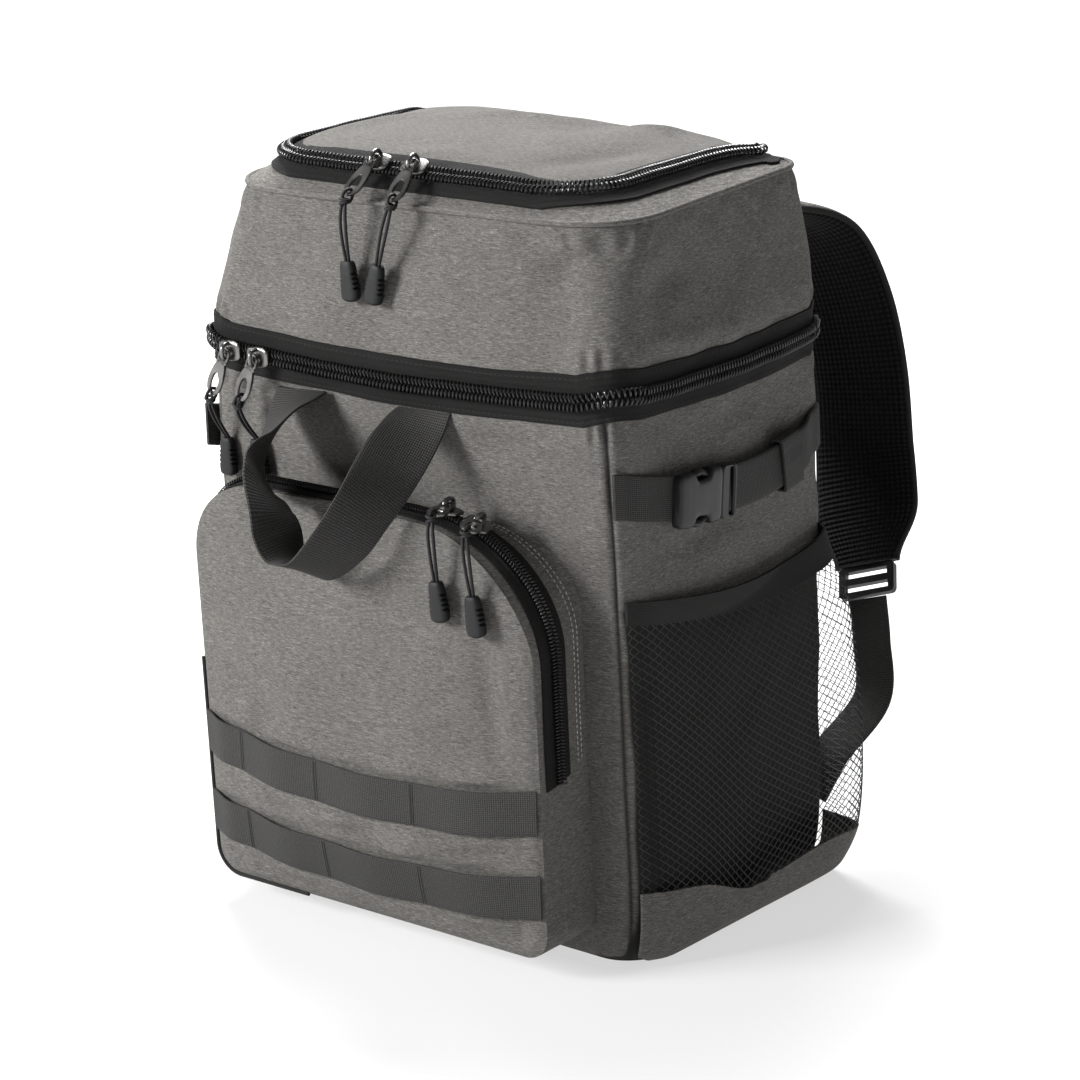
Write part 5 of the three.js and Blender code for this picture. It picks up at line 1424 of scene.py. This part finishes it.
# Webbing row on the pocket: tacked at three places and at its ends, each loose run rising by sin^2
# between tacks.
def webbingRowShapes(height, dip):
    share = np.linspace(-1, 1, 220)
    number = np.clip(np.searchsorted(rowTacks, share, side="right") - 1, 0, 3)
    low, high = np.array(rowTacks)[number], np.array(rowTacks)[number + 1]
    loose = np.sin(clamp01((share - low) / (high - low)) * math.pi) ** 2
    half = pocketWidth / 2 - 1
    x = pocketCentre(height) + half * share
    middle = height - dip * (1 - share * share)
    section = flatSection(webbing, webbingThickness, 9)
    z = middle[:, None] + section[None, :, 0]
    curl = 0.5 * loose[:, None] * (section[None, :, 0] / (webbing / 2)) ** 2
    y = pocketFace(x[:, None], z) - clearance - (2.2 * loose)[:, None] - section[None, :, 1] - curl
    points = np.stack([np.broadcast_to(x[:, None], z.shape), y, z], -1)
    shapes = [gridShape(points)]
    for tack in rowTacks[1:4]:
        at = half * tack + pocketCentre(height)
        zs = height - dip * (1 - tack * tack) + np.linspace(-webbing / 2 + 1, webbing / 2 - 1, 20)
        for off in (-0.8, 0.8):
            spot = np.full(20, at + off)
            path = np.stack([spot, pocketFace(spot, zs) - clearance - webbingThickness - 0.05, zs], 1)
            shapes.append(tubeShape(path, 0.32, 5, (1, 0, 0), look=1))
    return shapes


# The two rows of webbing on the pocket.
def makeWebbingRows():
    for name in ("upper", "lower"):
        shapes = webbingRowShapes(webbingRows[name], webbingRows["dip"])
        addPiece("row_" + name, shapes, [strapCloth, darkThread], ["webbing_row_" + name])


handle = {"width": 36, "span": 89, "reach": 69, "drop": 77, "centre": -22}
handleRun = {
    "i": list(range(13)),
    "along": [-0.5, -0.48, -0.39, -0.24, -0.11, -0.05, 0.03, 0.19, 0.4, 0.52, 0.535, 0.508, 0.5],
    "out": [0, 0.3, 0.64, 0.9, 1, 1.02, 1.01, 1, 0.96, 0.8, 0.49, 0.17, 0],
    "down": [0, 0.16, 0.35, 0.45, 0.61, 0.77, 0.95, 1, 0.78, 0.51, 0.27, 0.1, 0],
    "ax": [-1, -0.86, -0.62, -0.35, -0.1, 0.08, 0, 0.03, 0.37, 0.45, 0.65, 0.93, 1],
    "ay": [0, 0.43, 0.7, 0.9, 0.98, 0.98, 0.94, 0.87, 0.79, 0.76, 0.62, 0.3, 0],
    "az": [0, -0.26, -0.37, -0.25, -0.17, -0.1, -0.33, -0.5, -0.48, -0.46, -0.35, -0.17, 0],
}


# Grab handle: flat webbing along its table of centres, turned so that it lies across its travel.
def makeHandle():
    rootHeight = zipHeight - bodyTapeWidth / 2 - 1.5
    i = np.linspace(0, 12, 260)
    x = handle["centre"] + along(handleRun, "i", "along", i) * handle["span"]
    fronts = [bodyFrontAt(x + side * handle["width"], np.full(260, rootHeight)) for side in (-0.5, 0, 0.5)]
    y = np.min(fronts, axis=0) - 2 * clearance - along(handleRun, "i", "out", i) * handle["reach"]
    z = rootHeight - along(handleRun, "i", "down", i) * handle["drop"]
    centre = np.stack([x, y, z], 1)
    ahead = unitVector(np.gradient(centre, axis=0))
    ahead[0], ahead[-1] = (0, 0, -1), (0, 0, 1)
    across = np.stack([along(handleRun, "i", k, i) for k in ("ax", "ay", "az")], 1)
    across = unitVector(across - np.sum(across * ahead, 1, keepdims=True) * ahead)
    out = np.cross(across, ahead)
    section = flatSection(handle["width"], webbingThickness, 13)
    shape = sweepShape(centre, across, out, section)
    addPiece("handle_webbing", shape, handleCloth, ["grab_handle"])
    print("handle made")


netColumns = np.unique(np.concatenate([np.linspace(0, 0.9, 46), np.linspace(0.9, 1, 26)]))


# A panel of the side pocket between two heights, as a sheet of the given thickness, pushed out.
def sidePanel(low, high, rows, thickness, push):
    back, share = np.meshgrid(netColumns, np.linspace(0, 1, rows))
    z = mix(low(back), high(back), share)
    points = netAt(back, z) + np.stack([push(back, share), 0 * z, 0 * z], -1)
    return sheetShape(points, points - np.array([thickness, 0, 0]))


# Pleats of the band: a deep one before the middle, and a slack wave above the floor.
def bandPleat(back, share):
    pleat = 1.8 * np.exp(-(((back - 0.42 - 0.05 * share) / 0.018) ** 2)) * share
    tuck = -1.4 * np.exp(-(((back - 0.46 - 0.05 * share) / 0.02) ** 2)) * share
    wave = 0.6 * np.sin(back * 19) * np.sin(share * 3.1)
    return pleat + tuck + wave + 0.4


# Threads of the net: mirrored zigzags up the net, that touch where they turn.
def netShapes():
    count, turns = 56, 62
    thread = np.arange(count)
    steps = np.linspace(0, 1, turns)
    spread = 1 / count
    way = np.where(np.arange(turns) % 2, 1, -1)[None, :] * np.where(thread % 2, 1, -1)[:, None]
    back = clamp01((thread[:, None] + 0.5) * spread + way * 0.42 * spread)
    low = bandAt(back) - 1
    high = mouthAt(back) - hemHeight + 1
    z = mix(low, high, np.broadcast_to(steps, back.shape))
    points = netAt(back, z) - np.array([netThickness / 2, 0, 0])
    return [tubeShape(points[k], 0.38, 5, (1, 0, 0), 0.8) for k in range(count)]


# Band, hem and net of each side pocket; the left one mirrors the right one.
def makeSidePockets():
    band = sidePanel(lambda b: 1 + 7 * np.exp(-((b / 0.04) ** 2)), lambda b: bandAt(b) - clearance, 30,
                     bandThickness, bandPleat)
    hem = sidePanel(lambda b: mouthAt(b) - hemHeight, mouthAt, 12, hemThickness,
                    lambda b, s: 0.25 * np.sin(np.clip(s, 0, 1) * math.pi))
    net = netShapes()
    for label, pick in bothSides:
        addPiece("pocket_band_" + label, pick(band), heather, ["side_band_" + label])
        addPiece("pocket_hem_" + label, pick(hem), hemCloth, ["side_hem_" + label])
        threads = [pick(k) for k in net]
        addPiece("pocket_net_" + label, threads, netThread, ["side_net_" + label])
    print("side pockets made")


strapHeight = 273
strapSag = 12
strapEnds = (netFront - 6, netBack)
buckle = {"high": 31, "deep": 9, "socket": 38, "plug": 31, "prong": 17, "start": -57, "lift": 4.3}
keeper = {"start": 40, "long": 23}


# Height of the side strap: a parabola of depth strapSag over its share of the way, a little
# deeper to the rear.
def strapLine(y):
    share = (y - strapEnds[0]) / (strapEnds[1] - strapEnds[0])
    return strapHeight - strapSag * 4 * share * (1 - share) * (1 + 0.35 * share) - 3 * share


# Webbing along the side between two depths, lifted off the body.
def sideStrapShape(start, end, count, lift, thickness):
    y = np.linspace(start, end, count)
    section = flatSection(webbing, thickness, 9)
    z = strapLine(y)[:, None] + section[None, :, 0]
    wide = np.broadcast_to(y[:, None], z.shape)
    x = bodySideAt(wide, z) + lift(y)[:, None] + section[None, :, 1]
    return gridShape(np.stack([x, wide, z], -1))


# Point of the side strap at y, lifted off the body, and its directions along, up and out.
def strapFrame(y, lift):
    z = float(strapLine(y))
    slope = math.atan2(strapLine(y + 1) - strapLine(y - 1), 2)
    centre = np.array([float(bodySideAt(y, z)) + lift, y, z])
    ahead = np.array([0, math.cos(slope), math.sin(slope)])
    up = np.array([0, -math.sin(slope), math.cos(slope)])
    return centre, ahead, up, np.array([1.0, 0, 0])


# Buckle: the socket is a loaf whose half height follows a table with two curved cut-outs; the plug
# is a slotted plate with two bent prongs.
def buckleShapes():
    joinY = buckle["start"] + buckle["socket"]
    centre, x, y, z = strapFrame(joinY, 3)
    high, deep = buckle["high"] / 2, buckle["deep"]
    table = {
        "s": [-38, -37, -33, -28, -25.5, -23, -17, -12, -9, -5, -1, 0],
        "h": [0.72, 0.9, 0.96, 1.0, 0.94, 0.7, 0.66, 0.74, 0.98, 1.0, 1.0, 0.93],
        "d": [0.5, 0.72, 0.86, 0.92, 0.95, 0.97, 1.0, 1.0, 1.0, 1.0, 0.95, 0.85],
    }
    s = np.linspace(-38, 0, 90)
    half, depth = along(table, "s", "h", s) * high, along(table, "s", "d", s) * deep
    angle = np.arange(48) * 2 * math.pi / 48 + 1e-4
    c, w = np.cos(angle), np.sin(angle)
    boxC, boxS = signedPower(c, 0.3), signedPower(w, 0.42)
    spine = centre + s[:, None] * x + z * buckle["lift"]
    points = (spine[:, None] + (half[:, None] * boxC)[..., None] * y
              + (depth[:, None] / 2 * boxS)[..., None] * z)
    socket = gridShape(points)
    frameAt = (centre + z * buckle["lift"], x, y, z)
    outline = roundedOutline(7.4, high - 0.6, 8.2, 0, 0.28, 64)
    slot = roundedOutline(2.2, 13.3, 10.4, 0, 0.25, 64)
    plug = [plateRing(outline, slot, frameAt, 7.4, 0.9)]
    prong = {"t": [0, 0.45, 0.7, 0.9, 1], "w": [9.5, 11.6, 13.9, 13.4, 11.6]}
    prongSize = {"t": [0, 0.5, 0.85, 1], "r": [1.9, 2.0, 2.2, 1.2]}
    for side in (-1, 1):
        t = np.linspace(0, 1, 26)
        reach = mix(1.5, -25.5, t)
        sideways = side * along(prong, "t", "w", t)
        path = centre + z * buckle["lift"] + reach[:, None] * x + sideways[:, None] * y
        size = along(prongSize, "t", "r", t)
        plug.append(tubeShape(path, size, 12, z, 1.25))
    return socket, plug


# Keeper loop: a rounded ring of webbing round the strap and its tail.
def keeperShape():
    middle = keeper["start"] + keeper["long"] / 2
    tail = 2 * webbingThickness
    hollow = tail + 2.4
    lift = clearance + webbingThickness + 3
    centre, ahead, up, out = strapFrame(middle, lift + tail / 2)
    frameAt = (centre, up, out, ahead)
    outer = roundedOutline(webbing / 2 + webbingThickness + 1.5, hollow / 2 + webbingThickness, 0, 0, 0.3, 64)
    inner = roundedOutline(webbing / 2 + 1.5, hollow / 2, 0, 0, 0.3, 64)
    return plateRing(outer, inner, frameAt, keeper["long"] * 0.8, 0.3)


# Side straps, buckles and keeper loops: the webbing's lift off the body is a smooth step of y.
def makeSideStraps():
    def frontLift(y):
        return clearance + 4.4 * smooth((y - strapEnds[0] - 8) / 34)

    def rearLift(y):
        return clearance + (webbingThickness + 3) * smooth((strapEnds[1] - 8 - y) / 18)

    tailStart = buckle["start"] + buckle["socket"] + buckle["plug"] - buckle["prong"] + 3
    front = sideStrapShape(strapEnds[0], buckle["start"] + 6, 60, frontLift, webbingThickness)
    rear = sideStrapShape(tailStart - 8, strapEnds[1], 130, rearLift, 2 * webbingThickness)
    socket, plug = buckleShapes()
    loop = keeperShape()
    for label, pick in bothSides:
        addPiece("strap_front_" + label, pick(front), strapCloth, ["side_strap_front_" + label])
        addPiece("strap_rear_" + label, pick(rear), strapCloth, ["side_strap_rear_" + label])
        addPiece("socket_" + label, pick(socket), buckleResin,
                 ["buckle_socket_" + label], 35)
        addPiece("plug_" + label, [pick(k) for k in plug], buckleResin,
                 ["buckle_plug_" + label], 35)
        addPiece("keeper_" + label, pick(loop), strapCloth, ["keeper_loop_" + label], 35)
    print("side straps made")


backPanel = {"width": 252, "low": 14, "high": 404, "thick": 12}


# Rear surface of the body at height z, in its middle.
def backAt(z):
    return bodyAt(np.full(np.shape(z), 4.5), np.asarray(z, float) / seamAt(bodyDepth / 2))[..., 1]


# Back panel: a puffed sheet with two sewn channels across and a rounded rim.
def makeBackPanel():
    u, v = np.meshgrid(np.linspace(-1, 1, 110), np.linspace(0, 1, 170))
    z = mix(backPanel["low"], backPanel["high"], v)
    rim = (1 - np.abs(u) ** 6) * (1 - np.abs(2 * v - 1) ** 12)
    channel = sum(np.exp(-(((v - m) / 0.012) ** 2)) for m in (0.3, 0.62))
    spine = np.exp(-((u / 0.05) ** 2))
    thick = backPanel["thick"] * (0.4 + 0.6 * rim) * (1 - 0.5 * channel * rim) * (1 - 0.35 * spine * rim)
    x = u * backPanel["width"] / 2 * mix(0.94, 1, 1 - v * v)
    base = backAt(z) + 2 * clearance
    outer = np.stack([x, base + thick, z], -1)
    inner = np.stack([x, base, z], -1)
    panel = addPiece("back_pad", sheetShape(outer, inner), spacerCloth, ["back_panel"])
    print("back panel made")


pad = {"width": 64, "end": 38, "thick": 11, "reach": 86, "spread": 76, "drop": 209, "root": 374, "centre": 66}
padRun = {
    "i": list(range(9)),
    "out": [0, 0.02, 0.14, 0.34, 0.49, 0.61, 0.7, 0.85, 1],
    "back": [0, 0.16, 0.5, 0.8, 0.96, 1, 0.95, 0.77, 0.56],
    "down": [0, -0.03, -0.015, 0.07, 0.25, 0.475, 0.71, 0.88, 1],
}


# Middle line of a shoulder pad and its frame; out points to the wearer's side.
def padFrames(i):
    rootY = float(backAt(pad["root"])) + backPanel["thick"] + 3 * clearance

    def centreAt(k):
        return np.stack([pad["centre"] + along(padRun, "i", "out", k) * pad["spread"],
                         rootY + along(padRun, "i", "back", k) * pad["reach"],
                         pad["root"] - along(padRun, "i", "down", k) * pad["drop"]], -1)

    ahead = unitVector(centreAt(np.minimum(8, i + 0.02)) - centreAt(np.maximum(0, i - 0.02)))
    across = unitVector(np.array([1.0, 0, 0]) - ahead[:, :1] * ahead)
    return centreAt(i), ahead, across, np.cross(across, ahead), rootY


# Shoulder pad: a puffed section along its middle line, cloth outside and spacer mesh inside, with
# bound edges; below it the webbing that runs to its anchor.
def makeShoulderStraps():
    i = np.linspace(0, 8, 170)
    centre, ahead, across, out, rootY = padFrames(i)
    narrow = smooth((i / 8 - 0.86) / 0.14)
    half = mix(pad["width"], pad["end"], narrow) / 2
    thick = pad["thick"] / 2 * mix(1, 0.55, narrow)
    angle = np.linspace(0, 2 * math.pi, 64, endpoint=False)
    c, s = np.cos(angle), np.sin(angle)
    a, b = signedPower(c, 0.55), signedPower(s, 0.6)
    puff = 1 + 0.16 * (1 - a * a)[None, :]
    points = (centre[:, None] + (half[:, None] * a)[..., None] * across[:, None]
              + (thick[:, None] * b * puff * 0.92)[..., None] * out[:, None])
    points[..., 1] = np.maximum(points[..., 1], rootY)
    shape = gridShape(points)
    faceCount = len(shape["quads"])
    middleB = np.sin(angle + math.pi / 64)
    faceLooks = np.tile(middleB < 0, len(i) - 1)[:faceCount].astype(np.int32)
    edges = []
    for side in (-1, 1):
        line = centre + side * (half + 0.2)[:, None] * across
        line[:, 1] = np.maximum(line[:, 1], rootY + 1)
        edges.append(tubeShape(line, 2.0, 8, out, 1.0))
    lockTop = centre[-1]
    end = ahead[-1]
    top = lockTop + end * (20 + 5 * clearance)
    anchorY = float(backAt(40)) + webbingThickness / 2 + clearance
    foot = np.array([bodyWidth / 2 - 7, anchorY, 40])
    slack = np.array([top, top + end * 22 + [0, 4, -6],
                      mix(top, foot, 0.5) + [20, 5, 0], foot + [10, 8, 24], foot])
    k = np.linspace(0, 4, 120)
    table = {"i": [0, 1, 2, 3, 4], **{n: list(slack[:, m]) for m, n in enumerate("xyz")}}
    path = np.stack([along(table, "i", n, k) for n in "xyz"], 1)
    way = unitVector(np.gradient(path, axis=0))
    side = unitVector(np.array([1.0, 0, 0]) - way[:, :1] * way)
    face = np.cross(side, way)
    section = flatSection(webbing, webbingThickness, 9)
    ribbon = sweepShape(path - face * webbingThickness / 2, side, face, section)
    for label, pick in bothSides:
        made = addPiece("pad_cloth_" + label, pick(shape), [heather, spacerCloth],
                        ["shoulder_pad_" + label])
        looks = np.zeros(len(made.data.polygons), np.int32)
        looks[:faceCount] = faceLooks
        made.data.polygons.foreach_set("material_index", looks)
        addPiece("pad_binding_" + label, [pick(k) for k in edges], hemCloth)
        addPiece("strap_webbing_" + label, pick(ribbon), strapCloth, ["shoulder_webbing_" + label])
    print("shoulder straps made")


# Ladder locks keep their CAD shape with softened edges.
def dressNodes():
    for label in ("left", "right"):
        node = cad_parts["ladder_lock_" + label]
        node.data.materials.clear()
        node.data.materials.append(buckleResin)
        soft = node.modifiers.new("edges", "BEVEL")
        soft.width = 0.0005
        soft.segments = 2
        soft.limit_method = "ANGLE"


# Floor colour, and its glow near the bag (a painted shadow) and far from it
floorLook = {"size": 60.0, "colour": (0.3, 0.3, 0.3), "near": 0.6, "far": 1.0}
lights = [
    ("key", (-1.3, -1.9, 1.15), (0, 0, 0.22), 0.8, 108),
    ("fill", (1.9, -1.3, 0.9), (0, 0, 0.2), 1.6, 3),
    ("top", (-0.7, 0.75, 1.8), (0, 0, 0.3), 0.9, 105),
]


# Floor that glows though it is no lamp (painted light), its glow a smooth step of its distance from
# the bag and lower near it as a painted shadow; three area lights, even world.
def makeStage():
    half = floorLook["size"] / 2
    mesh = bpy.data.meshes.new("floor")
    corners = [(-half, -half, 0), (half, -half, 0), (half, half, 0), (-half, half, 0)]
    mesh.from_pydata(corners, [], [(0, 1, 2, 3)])
    made, nodes, links, surface = newMaterial("floor_pale", floorLook["colour"], 0.9)
    slow = noiseOf(nodes, links, cellsOf(nodes, links, "object", (0.4, 0.4, 0.4)), 2.0)
    tone = rampOf(nodes, links, slow, [(0.3, (0.29, 0.29, 0.29)), (0.7, (0.31, 0.31, 0.31))])
    # Painted shadow: the glow rises from near (0.6) by the bag to far (1.0) away from it
    apart = nodes.new("ShaderNodeVectorMath")
    apart.operation = "LENGTH"
    links.new(cellsOf(nodes, links, "object", (1, 1, 1)), apart.inputs[0])
    spread = nodes.new("ShaderNodeMapRange")
    spread.interpolation_type = "SMOOTHSTEP"
    links.new(apart.outputs["Value"], spread.inputs["Value"])
    spread.inputs["From Min"].default_value = 0.2
    spread.inputs["From Max"].default_value = 0.95
    spread.inputs["To Min"].default_value = floorLook["near"]
    spread.inputs["To Max"].default_value = floorLook["far"]
    links.new(spread.outputs["Result"], surface.inputs["Emission Color"])
    surface.inputs["Emission Strength"].default_value = 1
    links.new(tone, surface.inputs["Base Color"])
    mesh.materials.append(made)
    floor = bpy.data.objects.new("floor", mesh)
    scene.collection.objects.link(floor)
    for name, place, aim, size, power in lights:
        data = bpy.data.lights.new(name, "AREA")
        data.size = size
        data.energy = power
        lamp = bpy.data.objects.new(name, data)
        scene.collection.objects.link(lamp)
        away = unitVector(np.array(place, float) - np.array(aim, float))
        right = unitVector(np.cross([0, 0, 1], away))
        rows = np.eye(4)
        rows[:3, :3] = np.stack([right, np.cross(away, right), away], 1)
        rows[:3, 3] = place
        lamp.matrix_world = Matrix(rows.tolist())
    world = bpy.data.worlds.new("world")
    scene.world = world
    world.use_nodes = True
    world.node_tree.nodes["Background"].inputs["Color"].default_value = (1, 1, 1, 1)
    world.node_tree.nodes["Background"].inputs["Strength"].default_value = 0.22
    scene.view_settings.view_transform = "Standard"


makeLowerBody()
makeUpperBody()
makeLid()
makeZips()
makePulls()
makePocket()
makeStitches()
makeWebbingRows()
makeHandle()
makeSidePockets()
makeSideStraps()
makeBackPanel()
makeShoulderStraps()
dressNodes()
makeStage()
